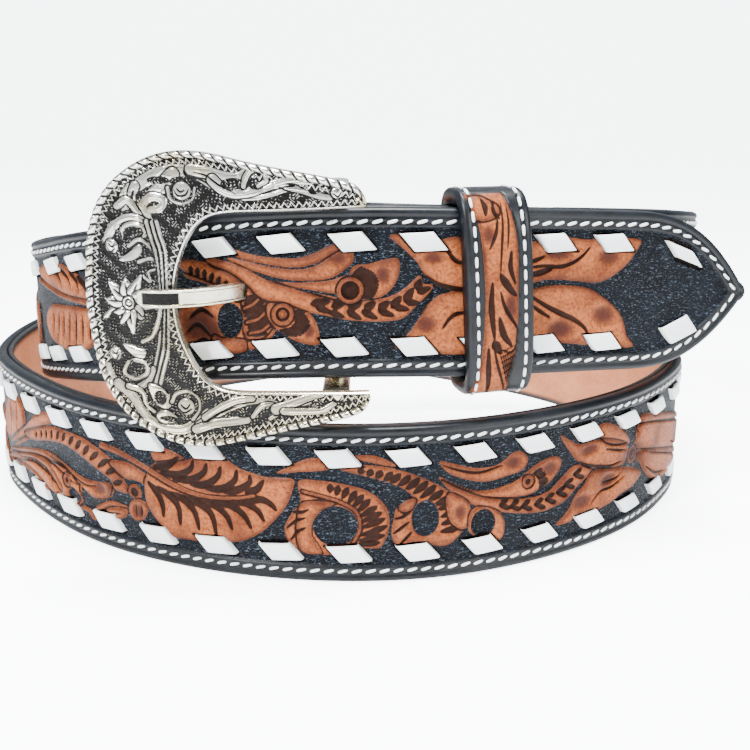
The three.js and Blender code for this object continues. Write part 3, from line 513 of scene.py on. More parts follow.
def mark_point(marks):
    """Leaves and flowers from the buckle to the strap's point."""
    marks.petal((38, 268), (50, 262), (66, 268), (80, 280), (90, 298), (76, 300), (58, 292), (42, 280))
    for d in ([(50, 268), (58, 276), (62, 287)], [(58, 268), (67, 278), (71, 290)], [(67, 271),
        (75, 281), (79, 293)], [(75, 276), (83, 287), (86, 297)]):
        marks.drop(4, *d)
    marks.stem(4, 6, (38, 280), (60, 296), (88, 304))
    marks.petal((50, 305), (64, 306), (80, 308), (94, 314), (96, 335), (86, 350), (66, 350),
        (52, 340), (46, 320))
    marks.bars(7, 2.6, [(54, 312), (66, 312), (78, 314), (90, 318)], [(54, 336), (66, 344),
        (78, 346), (90, 340)])
    marks.petal((180, 272), (180, 261), (201, 262), (229, 273), (263, 292), (291, 306), (268, 312),
        (275, 330), (262, 346), (240, 352), (213, 352), (190, 346), (180, 336), (176, 318),
        (182, 307), (208, 304), (222, 294), (205, 284), (187, 279))
    marks.petal((180, 262), (195, 261), (215, 267), (235, 279), (246, 290), (235, 289), (215, 284),
        (195, 276), (180, 270))
    marks.bars(9, 3, [(190, 266), (207, 271), (228, 282), (248, 296)], [(190, 275), (205, 281),
        (224, 291), (242, 303)])
    marks.hollow(26, 20, (202, 327))
    marks.cut(4, (188, 318), (200, 310), (212, 318))
    marks.cut(4, (185, 333), (196, 325), (209, 337))
    marks.cut(3, (190, 345), (203, 340), (212, 349))
    marks.petal((241, 292), (252, 291), (263, 302), (271, 312), (271, 328), (262, 338), (248, 340),
        (243, 330), (242, 312))
    marks.bars(11, 3, [(244, 300), (243, 310), (245, 322), (249, 335)], [(258, 296), (266, 307),
        (270, 319), (266, 334)])
    marks.stem(2.6, 2.2, (243, 309), (252, 305), (259, 298))
    marks.stem(2.6, 2.2, (246, 323), (257, 320), (266, 311))
    marks.stem(2.6, 2.2, (249, 334), (260, 332), (268, 326))
    marks.petal((212, 336), (222, 339), (236, 339), (245, 342), (244, 352), (225, 354), (213, 347))
    marks.disc(13, 18, (229, 321))
    marks.petal((228, 248), (240, 252), (255, 256), (270, 258), (285, 259), (300, 258), (315, 253),
        (330, 246), (340, 244), (346, 250), (336, 253), (324, 260), (312, 265), (298, 268),
        (280, 267), (262, 264), (245, 260), (233, 256))
    marks.petal((225, 258), (242, 261), (262, 266), (280, 269), (298, 270), (314, 267), (328, 259),
        (340, 252), (352, 252), (353, 262), (345, 270), (332, 278), (316, 281), (295, 281),
        (275, 278), (255, 272), (238, 266))
    marks.hollow(10, 8, (338, 258))
    marks.petal((262, 281), (285, 283), (310, 283), (330, 281), (346, 276), (352, 280), (340, 287),
        (337, 294), (320, 292), (300, 289), (280, 286))
    marks.petal((262, 283), (280, 288), (300, 292), (320, 295), (340, 299), (350, 302), (335, 302),
        (318, 299), (300, 296), (280, 291))
    marks.hollow(30, 3.5, (310, 296))
    marks.petal((205, 259), (222, 261), (245, 270), (265, 280), (285, 287), (305, 293), (325, 299),
        (345, 303), (370, 301), (390, 297), (405, 289), (416, 279), (421, 276), (424, 284),
        (434, 286), (427, 297), (416, 307), (406, 317), (395, 321), (370, 322), (345, 320),
        (325, 316), (305, 312), (285, 305), (268, 301), (258, 297), (245, 284), (228, 272), (212, 266))
    for a in ([(311, 304), (329, 302)], [(332, 307), (345, 303)], [(349, 308), (361, 304)],
        [(365, 310), (375, 303)], [(379, 310), (389, 302)], [(392, 308), (401, 297)], [(405, 302),
        (413, 289)], [(417, 290), (421, 280)]):
        marks.drop(6.6, *a)
    for a in ([(316, 307), (331, 313)], [(330, 312), (344, 318)], [(347, 311), (361, 320)],
        [(362, 311), (377, 319)], [(379, 311), (394, 316)], [(394, 307), (409, 310)], [(406, 302),
        (420, 304)], [(418, 293), (431, 288)]):
        marks.drop(5.6, *a)
    marks.petal((352, 268), (370, 264), (385, 260), (398, 259), (400, 270), (396, 283), (390, 291),
        (382, 297), (370, 299), (355, 300), (350, 285))
    marks.bars(13, 2.6, [(353, 277), (361, 280), (364, 288), (363, 298)], [(362, 267), (374, 273),
        (379, 285), (374, 297)])
    marks.hollow(9, 10, (383, 276))
    marks.pod(12.5, 8.6, (350, 291))
    marks.petal((268, 304), (285, 306), (300, 311), (312, 317), (318, 330), (318, 345), (300, 343),
        (285, 336), (272, 326), (266, 314))
    marks.bars(13, 2.4, [(292, 312), (295, 321), (289, 328), (279, 330)], [(304, 314), (310, 325),
        (301, 336), (286, 337)])
    marks.hollow(7, 8, (309, 331))
    marks.pod(10.5, 7, (282, 315))
    marks.pod(4.2, 0, (282, 315))
    marks.petal((390, 236), (410, 236), (440, 240), (460, 238), (478, 262), (480, 292), (450, 290),
        (436, 285), (426, 276), (418, 263), (405, 250))
    marks.hollow(12, 7, (434, 258))
    marks.cut(3.6, (441, 246), (450, 254), (458, 262), (476, 265))
    marks.petal((395, 346), (408, 335), (420, 319), (430, 304), (445, 294), (480, 293), (480, 350),
        (410, 352))
    marks.hollow(12, 9, (426, 325))
    marks.cut(3.6, (443, 329), (450, 319), (458, 314), (474, 312))
    marks.cut(5, (420, 272), (430, 280), (444, 287), (478, 292))
    marks.cut(5.5, (403, 333), (414, 321), (426, 304), (437, 289))
    marks.petal((528, 244), (545, 240), (570, 238), (590, 240), (610, 238), (641, 240), (639, 250),
        (631, 262), (620, 272), (608, 280), (595, 283), (575, 281), (550, 280), (534, 283),
        (522, 280), (522, 250))
    marks.cut(3.6, (526, 268), (545, 266), (560, 267), (573, 263), (583, 256), (591, 247))
    marks.cut(5.5, (526, 276), (540, 273), (553, 269))
    marks.cut(3.6, (526, 264), (537, 260), (546, 256))
    marks.hollow(15, 7, (559, 254))
    marks.hollow(12, 9, (610, 257))
    marks.petal((522, 291), (536, 289), (550, 286), (570, 286), (590, 289), (602, 296), (612, 304),
        (621, 314), (626, 326), (628, 336), (634, 347), (610, 347), (570, 344), (535, 342), (522, 340))
    marks.cut(4.6, (528, 294), (545, 305), (560, 313), (575, 320), (585, 328), (589, 337))
    marks.cut(3.4, (528, 303), (543, 313), (551, 318))
    marks.hollow(13, 11, (605, 315))
    marks.hollow(14, 10, (562, 329))


def mark_buckle(marks):
    """Scrolls along the arms and the side, and the flower under the prong's tip."""
    marks.stem(9, 7, (132, 214), (124, 204), (128, 192), (140, 183), (152, 176), (168, 171),
        (186, 171), (200, 176), (212, 184))
    marks.stem(8, 8, (150, 196), (160, 188), (166, 180), (172, 174))
    marks.disc(10, 3.4, (158, 180))
    marks.disc(8, 3.6, (178, 181))
    marks.stem(6, 5, (146, 216), (142, 206), (150, 197), (162, 200), (160, 208), (150, 210))
    marks.pod(11, 0, (181, 191))
    marks.cut(1.6, (173, 190), (178, 196), (185, 195), (188, 189))
    marks.cut(1.6, (176, 188), (180, 192), (184, 190))
    marks.stem(2.6, 2.2, (167, 188), (170, 199), (181, 204), (192, 199), (194, 188))
    marks.stem(5, 4, (188, 172), (205, 177), (218, 187), (232, 195), (250, 197), (270, 194),
        (285, 189), (300, 190), (318, 196), (330, 198))
    marks.stem(7, 8, (190, 169), (208, 173), (226, 178), (240, 178), (250, 170))
    marks.stem(7, 4, (212, 180), (220, 188), (232, 193), (248, 192), (262, 188), (276, 184),
        (290, 181), (308, 181), (325, 186), (335, 193))
    marks.disc(11, 5.5, (232, 184))
    marks.disc(8, 7, (256, 182))
    marks.stem(3.4, 3, (243, 186), (246, 176), (252, 170), (262, 172), (266, 180), (258, 186))
    marks.cut(1.5, (193, 172), (206, 176), (220, 186), (236, 194))
    marks.cut(1.5, (278, 187), (290, 192), (302, 195))
    marks.cut(1.5, (285, 184), (296, 185), (306, 190))
    marks.disc(6, 5, (314, 189))
    marks.disc(5, 4, (326, 188))
    marks.pod(6.5, 0, (337, 193))
    marks.cut(1.4, (333, 193), (338, 197), (341, 192))
    marks.stem(6, 4, (134, 186), (131, 196), (132, 206), (136, 214))
    marks.cut(2.4, (133, 190), (131, 198), (132, 206))
    marks.stem(5, 4, (116, 206), (126, 200), (136, 212), (142, 222))
    marks.petal((112, 222), (118, 215), (128, 211), (130, 215), (120, 221), (114, 226))
    marks.disc(6, 2.6, (123, 215))
    marks.stem(6, 5, (106, 240), (110, 230), (118, 222), (130, 218), (142, 222), (148, 232), (150, 242))
    marks.disc(11, 6, (133, 232))
    marks.stem(3, 3, (121, 238), (122, 228), (132, 224), (143, 228), (143, 237), (133, 240))
    marks.pod(8.5, 0, (111, 246))
    marks.cut(1.6, (106, 246), (110, 252), (115, 248))
    marks.cut(1.6, (108, 243), (112, 247), (114, 243))
    marks.disc(3, 5, (118, 236))
    marks.petal((118, 260), (128, 252), (138, 244), (142, 250), (138, 258), (128, 262))
    marks.stem(3, 2.4, (128, 246), (138, 240), (148, 246), (156, 258))
    marks.disc(10, 9, (148, 273))
    marks.disc(6, 8, (116, 274))
    marks.stem(3, 3, (138, 262), (150, 259), (160, 266), (160, 284))
    marks.cut(1.6, (141, 268), (148, 276), (146, 286))
    marks.stem(2.4, 2, (142, 276), (150, 282), (148, 272), (155, 270))
    for x, w in ((0, 3.4), (5, 3), (10, 3)):
        marks.stem(w, 2.4, (146 + x, 222), (150 + x, 236), (155 + x, 252), (158 + x * 0.8, 270),
            (160 + x * 0.7, 292))
        marks.stem(w, 2.4, (150 + x, 384), (154 + x, 368), (158 + x, 350), (160 + x * 0.8, 330),
            (161 + x * 0.7, 306))
    for k in range(10):
        a = math.radians(36 * k + 8)
        c, s = (math.cos(a), math.sin(a))
        r = 25 if k % 2 else 32
        marks.petal((128 + 7 * c - 5 * s, 303 + 8 * s + 5 * c),
            (128 + 16 * c - 5.5 * s, 303 + 17 * s + 5.5 * c), (128 + r * 0.9 * c, 303 + r * s),
            (128 + 16 * c + 5.5 * s, 303 + 17 * s - 5.5 * c),
            (128 + 7 * c + 5 * s, 303 + 8 * s - 5 * c))
        marks.cut(1.6, (128 + 10 * c, 303 + 10 * s), (128 + 20 * c, 303 + 21 * s))
    marks.pod(8, 5, (128, 303))
    marks.pod(3.6, 0, (128, 303))
    marks.petal((122, 344), (134, 346), (146, 352), (140, 362), (130, 354))
    marks.disc(9, 12, (152, 322))
    marks.disc(6, 9, (114, 322))
    marks.stem(3, 3, (160, 306), (158, 320), (152, 336), (142, 342))
    marks.pod(8.5, 0, (115, 354))
    marks.cut(1.6, (110, 354), (115, 360), (119, 354))
    marks.cut(1.6, (112, 350), (116, 354), (118, 350))
    marks.stem(5, 5, (108, 366), (112, 376), (122, 384), (136, 388), (146, 382), (152, 370))
    marks.disc(12, 7, (136, 369))
    marks.stem(3, 3, (128, 362), (124, 372), (134, 379), (146, 374), (146, 364), (134, 360))
    marks.stem(7, 7, (118, 384), (132, 396), (140, 408), (150, 420), (164, 428), (182, 430),
        (196, 424), (208, 414))
    marks.stem(4, 3, (128, 386), (142, 392), (146, 404), (154, 412))
    marks.petal((148, 384), (158, 386), (168, 394), (172, 404), (166, 410), (156, 404), (150, 394))
    marks.disc(6, 7, (160, 398))
    marks.petal((156, 414), (166, 410), (178, 418), (172, 424), (160, 422))
    marks.disc(8, 2.6, (168, 419))
    marks.pod(11, 0, (186, 407))
    marks.cut(1.6, (178, 408), (184, 413), (192, 409))
    marks.cut(1.6, (180, 404), (186, 409), (190, 404))
    marks.stem(3, 2.4, (172, 402), (176, 394), (188, 392), (198, 399), (199, 410), (192, 420))
    marks.stem(5, 4, (198, 426), (214, 416), (230, 408), (248, 402), (266, 402), (284, 406),
        (300, 404), (318, 399))
    marks.stem(6, 6, (196, 430), (214, 424), (232, 422), (246, 420))
    marks.stem(5, 4, (205, 418), (220, 408), (236, 401), (252, 399))
    marks.cut(1.5, (202, 424), (218, 414), (236, 407))
    marks.disc(9, 4.5, (243, 413))
    marks.disc(8, 5.5, (266, 412))
    marks.stem(3.4, 3, (253, 417), (262, 406), (274, 406), (278, 414), (270, 419))
    marks.stem(7, 4, (276, 410), (292, 404), (308, 398), (322, 395))
    marks.stem(5, 4, (284, 412), (304, 412), (322, 411), (334, 404))
    marks.disc(6, 5, (318, 404))
    marks.pod(6.5, 0, (338, 397))
    marks.cut(1.4, (333, 398), (338, 402), (342, 397))


def mark_keeper(marks):
    """Leaves up the keeper's front."""
    outline = [(463, 190), (484, 189), (500, 192), (508, 204), (514, 220), (518, 240), (519.5, 262),
        (519.5, 285), (519, 310), (518, 335), (515, 358), (509, 378), (502, 397), (470, 399),
        (477, 382), (482, 360), (485, 330), (486, 300), (485, 270), (482, 240), (476, 215), (468, 200)]
    marks.petal(*outline)
    marks.petal((470, 198), (480, 196), (488, 200), (498, 206), (499, 214), (492, 219), (482, 221),
        (474, 217))
    marks.cut(4, (481, 199), (485, 207), (486, 216))
    marks.cut(3, (493, 203), (494, 212), (500, 219))
    marks.hollow(7, 10, (489, 235))
    marks.hollow(4, 18, (484, 258))
    marks.cut(1.8, (500, 200), (503, 225), (502, 250), (501, 275))
    marks.cut(2.4, (498, 218), (496, 236), (490, 250))
    marks.cut(1.6, (506, 205), (509, 225), (508, 250))
    marks.cut(3.6, (512, 251), (511, 268), (516, 284))
    marks.drop(5, (501, 275), (509, 287), (517, 296))
    marks.cut(3, (501, 292), (505, 306), (513, 320), (519, 330))
    marks.hollow(7, 16, (512, 308))
    marks.cut(4.4, (493, 283), (492, 310), (495, 340))
    marks.cut(5, (500, 318), (504, 335), (512, 346))
    marks.cut(2, (518, 330), (518, 345), (511, 353), (502, 350))
    marks.drop(6, (494, 342), (501, 354))
    marks.cut(4, (489, 349), (489, 370), (485, 396))
    marks.cut(2.2, (494, 344), (498, 365), (502, 392))
    for k in range(7):
        marks.cut(1.1, (499 + 0.9 * k, 354 + 5 * k), (517 - 0.3 * k, 345 + 5.4 * k))
        marks.cut(1.1, (500 + 2.4 * k, 352), (507 + 1.7 * k, 384 - 2 * k))


# Second derivatives of a natural cubic spline, and its value at t.
def spline_bends(knots, values):
    n = len(knots)
    h = np.diff(knots)
    slope = np.diff(values, axis=0) / h[:, None]
    matrix = np.eye(n)
    right = np.zeros_like(values)
    for i in range(1, n - 1):
        matrix[i, i - 1 : i + 2] = h[i - 1], 2 * (h[i - 1] + h[i]), h[i]
        right[i] = 6 * (slope[i] - slope[i - 1])
    return np.linalg.solve(matrix, right)


def spline_at(knots, values, bends, t):
    i = np.clip(np.searchsorted(knots, t, side="left") - 1, 0, len(knots) - 2)
    h = (knots[i + 1] - knots[i])[:, None]
    a = (knots[i + 1] - t)[:, None] / h
    b = 1 - a
    curl = ((a**3 - a) * bends[i] + (b**3 - b) * bends[i + 1]) * h * h
    return a * values[i] + b * values[i + 1] + curl / 6


class Route:
    """Way of the strap's lower edge, read by the length walked along it."""

    def __init__(self, points):
        self.points = np.array(points, float)
        flat = np.linalg.norm(np.diff(self.points[:, :2], axis=0), axis=1)
        self.knots = np.concatenate([[0], np.cumsum(flat)])
        self.bends = spline_bends(self.knots, self.points)
        steps = 40 * len(points)
        self.even = np.linspace(0, self.knots[-1], steps + 1)
        legs = np.linalg.norm(np.diff(self.on_knots(self.even), axis=0), axis=1)
        self.walked = np.concatenate([[0], np.cumsum(legs)])
        self.length = self.walked[-1]

    def on_knots(self, t):
        made = spline_at(self.knots, self.points, self.bends, t)
        made[:, 2] = np.maximum(made[:, 2], 0)
        return made

    def frame_at(self, s):
        t = np.interp(np.atleast_1d(s), self.walked, self.even)
        ahead = self.on_knots(t + GAP / 10) - self.on_knots(t - GAP / 10)
        out = np.stack([ahead[:, 1], -ahead[:, 0], 0 * t], 1)
        return self.on_knots(t), out / np.linalg.norm(out, axis=1)[:, None]

    def where_across(self, x, start, end):
        s = np.arange(start, end, 0.25)
        return s[np.argmin(np.abs(self.frame_at(s)[0][:, 0] - x))]


def from_shares(rows):
    return [(a * RING_W, b * RING_D, r * STRAP_H) for a, b, r in rows]


billet = Route(from_shares(BILLET))


def behind_billet(x, depth):
    point, out = billet.frame_at(billet.where_across(x, 0, billet.length))
    return (point - out * depth)[0]


BAR = behind_billet(BAR_ACROSS, BAR_DEPTH)
BAR_OUT = (BAR - behind_billet(BAR_ACROSS, 0)) * (1, 1, 0)
BAR_OUT = BAR_OUT / np.linalg.norm(BAR_OUT)


def turned(arm, angle):
    c, s = math.cos(angle), math.sin(angle)
    return np.array([c * arm[0] - s * arm[1], s * arm[0] + c * arm[1], 0])


def fold_points():
    leg = [behind_billet(a * RING_W, LEG + o * LEG_SPREAD) for a, o in FOLD_LEG]
    wrap = [BAR + WRAP_R * turned(BAR_OUT, math.radians(d - 90)) for d in WRAP_ANGLES]
    return [*leg, *wrap, *[behind_billet(a * RING_W, UNDER) for a in UNDER_BILLET]]


route = Route([*fold_points(), *from_shares(TURNS), *from_shares(BILLET)])
BILLET_START = route.length - billet.length
WRAP_S = route.where_across(BAR[0] - WRAP_R, GAP, 2 * FRAME_L)
LINING_START = route.where_across(0.2 * RING_W, WRAP_S, 2 * FRAME_L)


def place(s, v, w):
    """Points on the strap: s along it, v up from its lower edge, w out of its face."""
    s, v, w = np.broadcast_arrays(s, v, w)
    point, out = route.frame_at(s.ravel())
    made = point + out * w.reshape(-1, 1) + FOOT
    made[:, 2] += v.ravel()
    return made.reshape(*s.shape, 3)


def half_width(s):
    left = np.clip((route.length - s) / POINT_L, 0, 1)
    nose = np.clip(NOSE_R - np.maximum(0, route.length - s), 0, NOSE_R)
    blunt = np.maximum(0.05, np.sqrt(NOSE_R**2 - nose**2))
    return np.maximum(blunt, STRAP_H / 2 * (1 - (1 - left) ** POINT_CURVE))


def lace_slots():
    rows = []
    for first, count, pitch, lead in LACE_RUNS:
        for i in range(count):
            rows.append((route.length - (first - i * pitch) * LACE_PITCH, lead * ROW_LEAD))
    return rows


SLOTS = lace_slots()


def slot_heights(s):
    half = half_width(s)
    low = STRAP_H / 2 - half
    first = np.minimum(SLOT_INSET, half * 0.4)
    second = np.minimum(SLOT_INSET + SLOT_H, half * 0.8)
    high = STRAP_H - low
    return np.array([low + first, low + second, high - second, high - first])


# Making of meshes
def new_mesh(name, points, faces, smooth=True):
    mesh = bpy.data.meshes.new(name)
    mesh.from_pydata(np.asarray(points) * MM, [], faces)
    mesh.update()
    mesh.shade_smooth() if smooth else mesh.shade_flat()
    made = bpy.data.objects.new(name, mesh)
    bpy.context.scene.collection.objects.link(made)
    return made


def loft(rings, closed=True, caps=True):
    """Quads between rings of equal length, with fans over both ends."""
    n, m = rings.shape[:2]
    index = np.arange(n * m).reshape(n, m)
    a = index[:-1]
    b = index[1:]
    if closed:
        a2, b2 = np.roll(a, -1, 1), np.roll(b, -1, 1)
    else:
        a, b, a2, b2 = a[:, :-1], b[:, :-1], a[:, 1:], b[:, 1:]
    quads = np.stack([a, b, b2, a2], -1).reshape(-1, 4).tolist()
    if caps:
        quads += [index[0].tolist(), index[-1][::-1].tolist()]
    return rings.reshape(-1, 3), quads


def put_value(thing, name, values):
    layer = thing.data.attributes.new(name, "FLOAT", "POINT")
    layer.data.foreach_set("value", np.asarray(values, np.float32).ravel())


def put_uv(thing, along, up):
    """UV in decimetres along and up the leather, from values on the points."""
    layer = thing.data.uv_layers.new(name="leather")
    corner = np.zeros(len(thing.data.loops), np.int32)
    thing.data.loops.foreach_get("vertex_index", corner)
    uv = np.stack([np.ravel(along)[corner], np.ravel(up)[corner]], 1) / 100
    layer.data.foreach_set("uv", uv.astype(np.float32).ravel())


def finish_piece(thing, material, nodes=()):
    thing.data.materials.append(material)
    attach(thing, "root")
    if nodes:
        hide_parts(*nodes)
    return thing


def smooth_way(points, closed, step=0.4):
    """Curve through points, at about even steps."""
    p = np.array(points, float)
    if closed:
        around = np.concatenate([p[-1:], p, p[:2]])
    else:
        around = np.concatenate([2 * p[:1] - p[1:2], p, 2 * p[-1:] - p[-2:-1]])
    made = []
    for i in range(len(around) - 3):
        a, b, c, d = around[i : i + 4]
        t = np.linspace(0, 1, max(2, int(np.hypot(*(c - b)) / step) + 1), endpoint=False)[:, None]
        made.append(b + 0.5 * t * (c - a + t * (2 * a - 5 * b + 4 * c - d + t * (3 * (b - c) + d - a))))
    made.append(around[-2:-1])
    return np.concatenate(made)


class Carving:
    """Relief drawn on a flat sheet of leather or metal: x along it, y up it, in cells.

    Each layer but rise and shade runs from 0 to 1 over one blur width round an edge."""

    def __init__(self, x0, x1, y0, y1, cell, blur, depth, veined=False):
        self.cell, self.x0, self.y0 = cell, x0, y0
        self.blur, self.depth, self.veined = blur, depth, veined
        self.xs = np.arange(x0, x1 + cell, cell)
        self.ys = np.arange(y0, y1 + cell, cell)
        shape = (len(self.xs), len(self.ys))
        self.tan = np.zeros(shape, np.float32)
        self.cut = np.zeros(shape, np.float32)
        self.shade = np.zeros(shape, np.float32)
        self.rise = np.full(shape, -depth, np.float32)

    def window(self, low, high):
        i = [int((low[0] - self.x0) / self.cell), int((high[0] - self.x0) / self.cell) + 2]
        j = [int((low[1] - self.y0) / self.cell), int((high[1] - self.y0) / self.cell) + 2]
        i = np.clip(i, 0, len(self.xs))
        j = np.clip(j, 0, len(self.ys))
        return slice(*i), slice(*j)

    def survey(self, way, reach, closed=False):
        """Window round a way, and each cell's distance, share along and side."""
        where = self.window(way.min(0) - reach, way.max(0) + reach)
        x, y = self.xs[where[0]], self.ys[where[1]]
        far = np.full((len(x), len(y)), reach, np.float32)
        share = np.zeros_like(far)
        inside = np.zeros(far.shape, bool)
        steps = len(way) - 1
        for k in range(steps):
            a, d = way[k], way[k + 1] - way[k]
            low, high = np.minimum(a, a + d), np.maximum(a, a + d)
            i = slice(*np.searchsorted(x, (low[0] - reach, high[0] + reach)))
            j = slice(*np.searchsorted(y, (low[1] - reach, high[1] + reach)))
            dx, dy = x[i][:, None] - a[0], y[j][None, :] - a[1]
            t = np.clip((dx * d[0] + dy * d[1]) / max(d @ d, 1e-9), 0, 1)
            gap = np.hypot(dx - t * d[0], dy - t * d[1])
            nearer = gap < far[i, j]
            far[i, j] = np.where(nearer, gap, far[i, j])
            share[i, j] = np.where(nearer, (k + t) / steps, share[i, j])
            if closed and abs(d[1]) > 1e-9:
                rows = slice(*np.searchsorted(y, (low[1], high[1])))
                cross = a[0] + (y[rows] - a[1]) * d[0] / d[1]
                inside[:, rows] ^= x[:, None] < cross[None, :]
        return where, far, share, inside

    def soft(self, e):
        return np.clip(0.5 + e / self.blur, 0, 1)

    def raise_up(self, where, e):
        """Raised shape with a rounded edge and a dark cut round it; e is the way in."""
        blur, deep = self.blur, self.depth
        body = self.soft(e)
        tan, cut, rise = self.tan[where], self.cut[where], self.rise[where]
        ring = np.minimum(self.soft(0.46 * blur - np.abs(e + 0.42 * blur)), np.clip(2 * tan, 0, 1))
        cut[:] = np.maximum(np.minimum(cut, 1 - body), ring * (e < 0.25 * blur))
        # Colour darkens towards each raised shape's edge, where it bevels down.
        edge_darkening = 0.85 * np.exp(-np.maximum(e - 0.4 * blur, 0) / (1.9 * blur))
        self.shade[where] += (edge_darkening - self.shade[where]) * body
        tan[:] = np.maximum(tan, body)
        pressed = rise - 0.8 * deep * np.exp(np.minimum(e, 0) / (0.9 * blur)) * (tan > 0.5)
        inner = np.maximum(e, 0) / blur
        crown = deep * (0.25 - 0.6 * np.exp(-inner / 0.55) - 0.4 * np.exp(-inner / 2.2))
        rise[:] = np.where(e > 0, crown, np.maximum(np.minimum(rise, pressed), -1.3 * deep))

    def sink(self, where, e, amount=1.0):
        body = self.soft(e)
        self.cut[where] = np.maximum(self.cut[where], body)
        self.rise[where] -= amount * self.depth * np.clip(0.5 + e / (0.7 * self.blur), 0, 1)

    def petal(self, points):
        way = smooth_way(points, True)
        where, far, _, inside = self.survey(way, 4 * self.blur, True)
        self.raise_up(where, np.where(inside, far, -far))

    def ground(self, points):
        where, far, _, inside = self.survey(smooth_way(points, True), 2 * self.blur, True)
        self.clear(where, np.where(inside, far, -far))

    def clear(self, where, e):
        body = self.soft(e)
        self.tan[where] = np.minimum(self.tan[where], 1 - body)
        self.cut[where] = np.minimum(self.cut[where], 1 - body)
        self.shade[where] *= 1 - body
        self.rise[where] += (-1.15 * self.depth - self.rise[where]) * body

    def stem(self, first, last, points):
        reach = max(first, last) / 2 + 3 * self.blur
        where, far, share, _ = self.survey(smooth_way(points, False), reach)
        half = (first + (last - first) * share) / 2
        self.raise_up(where, np.minimum(half - far, half))
        if self.veined and min(first, last) > 2.5 * self.blur:
            line = 0.28 * self.blur - np.abs(far - 0.45 * half)
            line = line * soft_step(share, 0.05, 0.2) * soft_step(share, 0.97, 0.8)
            self.sink(where, line - 0.05, 0.35)

    def groove(self, width, points, peak, amount=0.9):
        where, far, share, _ = self.survey(smooth_way(points, False), width + 2 * self.blur)
        swell = (np.clip(share / peak, 0, 1) * np.clip((1 - share) / (1 - peak), 0, 1)) ** 0.5
        self.sink(where, width / 2 * (0.25 + 0.75 * swell) - far, amount)

    def bars(self, count, width, first, second):
        a, b = smooth_way(first, False), smooth_way(second, False)
        for k in np.linspace(0, 1, int(count)):
            ends = [way[int(round(k * (len(way) - 1)))] for way in (a, b)]
            self.groove(width, [ends[0], (ends[0] + ends[1]) / 2, ends[1]], 0.35, 0.8)

    def spot(self, rx, ry, centre):
        c, r = np.array(centre), np.array([rx, ry])
        where = self.window(c - 1.6 * r - self.blur, c + 1.6 * r + self.blur)
        x, y = self.xs[where[0]][:, None] - c[0], self.ys[where[1]][None, :] - c[1]
        return where, np.hypot(x / rx, y / ry)

    def hollow(self, rx, ry, centre):
        where, off = self.spot(rx, ry, centre)
        deep = np.exp(-(off**4)) * np.clip(2 * self.tan[where] - 0.8, 0, 1)
        self.shade[where] = np.maximum(self.shade[where], deep)
        self.rise[where] -= 0.9 * self.depth * deep

    def disc(self, rx, ry, centre):
        where, off = self.spot(rx, ry, centre)
        self.clear(where, (1 - off) * min(rx, ry))

    def pod(self, radius, hole, centre):
        where, off = self.spot(radius, radius, centre)
        self.raise_up(where, (1 - off) * radius)
        if hole:
            self.sink(where, hole - off * radius)

    def draw(self, rows):
        for kind, first, last, points, more in rows:
            if kind == "petal":
                self.petal(points)
            elif kind == "ground":
                self.ground(points)
            elif kind == "stem":
                self.stem(first, last, points)
            elif kind == "cut":
                self.groove(first, points, 0.5)
            elif kind == "drop":
                self.groove(first, points, 0.3)
            elif kind == "bars":
                self.bars(first, last, points, more)
            elif kind == "hollow":
                self.hollow(first, last, points[0])
            elif kind == "disc":
                self.disc(first, last, points[0])
            elif kind == "pod":
                self.pod(first, last, points[0])
        return self

    def read(self, layer, x, y):
        """Value of a layer at points, blended between cells."""
        i = np.clip((x - self.x0) / self.cell, 0, len(self.xs) - 1.001)
        j = np.clip((y - self.y0) / self.cell, 0, len(self.ys) - 1.001)
        a, b = i.astype(int), j.astype(int)
        fx, fy = i - a, j - b
        low = layer[a, b] * (1 - fx) + layer[a + 1, b] * fx
        high = layer[a, b + 1] * (1 - fx) + layer[a + 1, b + 1] * fx
        return low * (1 - fy) + high * fy


def walk(points):
    """Way walked along a row of points up to each of them."""
    return np.concatenate([[0], np.cumsum(np.linalg.norm(np.diff(points, axis=0), axis=1))])


def steps_between(start, end, step):
    return np.linspace(start, end, max(2, int(round((end - start) / step)) + 1))


def soft_step(value, low, high):
    t = np.clip((value - low) / (high - low), 0, 1)
    return t * t * (3 - 2 * t)


# Materials
class Nodes:
    """Short hand for a material's or a group's node tree."""

    def __init__(self, tree):
        self.tree = tree

    def add(self, kind, **settings):
        node = self.tree.nodes.new(kind)
        for name, value in settings.items():
            setattr(node, name, value)
        return node

    def join(self, source, target):
        self.tree.links.new(source, target)

    def fill(self, node, values):
        for key, value in values.items():
            if hasattr(value, "is_output"):
                self.join(value, node.inputs[key])
            else:
                node.inputs[key].default_value = value
        return node

    def value(self, name):
        return self.add("ShaderNodeAttribute", attribute_name=name).outputs["Fac"]

    def maths(self, operation, a, b=0.5):
        node = self.add("ShaderNodeMath", operation=operation, use_clamp=False)
        return self.fill(node, {0: a, 1: b}).outputs[0]

    def span(self, value, low, high, to_low=0.0, to_high=1.0):
        ranges = {"Value": value, "From Min": low, "From Max": high, "To Min": to_low, "To Max": to_high}
        return self.fill(self.add("ShaderNodeMapRange"), ranges).outputs["Result"]

    def mix(self, factor, a, b, blend="MIX"):
        node = self.add("ShaderNodeMix", data_type="RGBA", blend_type=blend)
        first, second = (c if hasattr(c, "is_output") else (*c, 1) for c in (a, b))
        return self.fill(node, {0: factor, 6: first, 7: second}).outputs[2]

    def noise(self, place, scale, detail=4.0, rough=0.6, warp=0.0):
        settings = {"Vector": place, "Scale": scale, "Detail": detail}
        settings.update({"Roughness": rough, "Distortion": warp})
        return self.fill(self.add("ShaderNodeTexNoise"), settings).outputs["Fac"]

    def place(self):
        return self.add("ShaderNodeTexCoord").outputs["Object"]


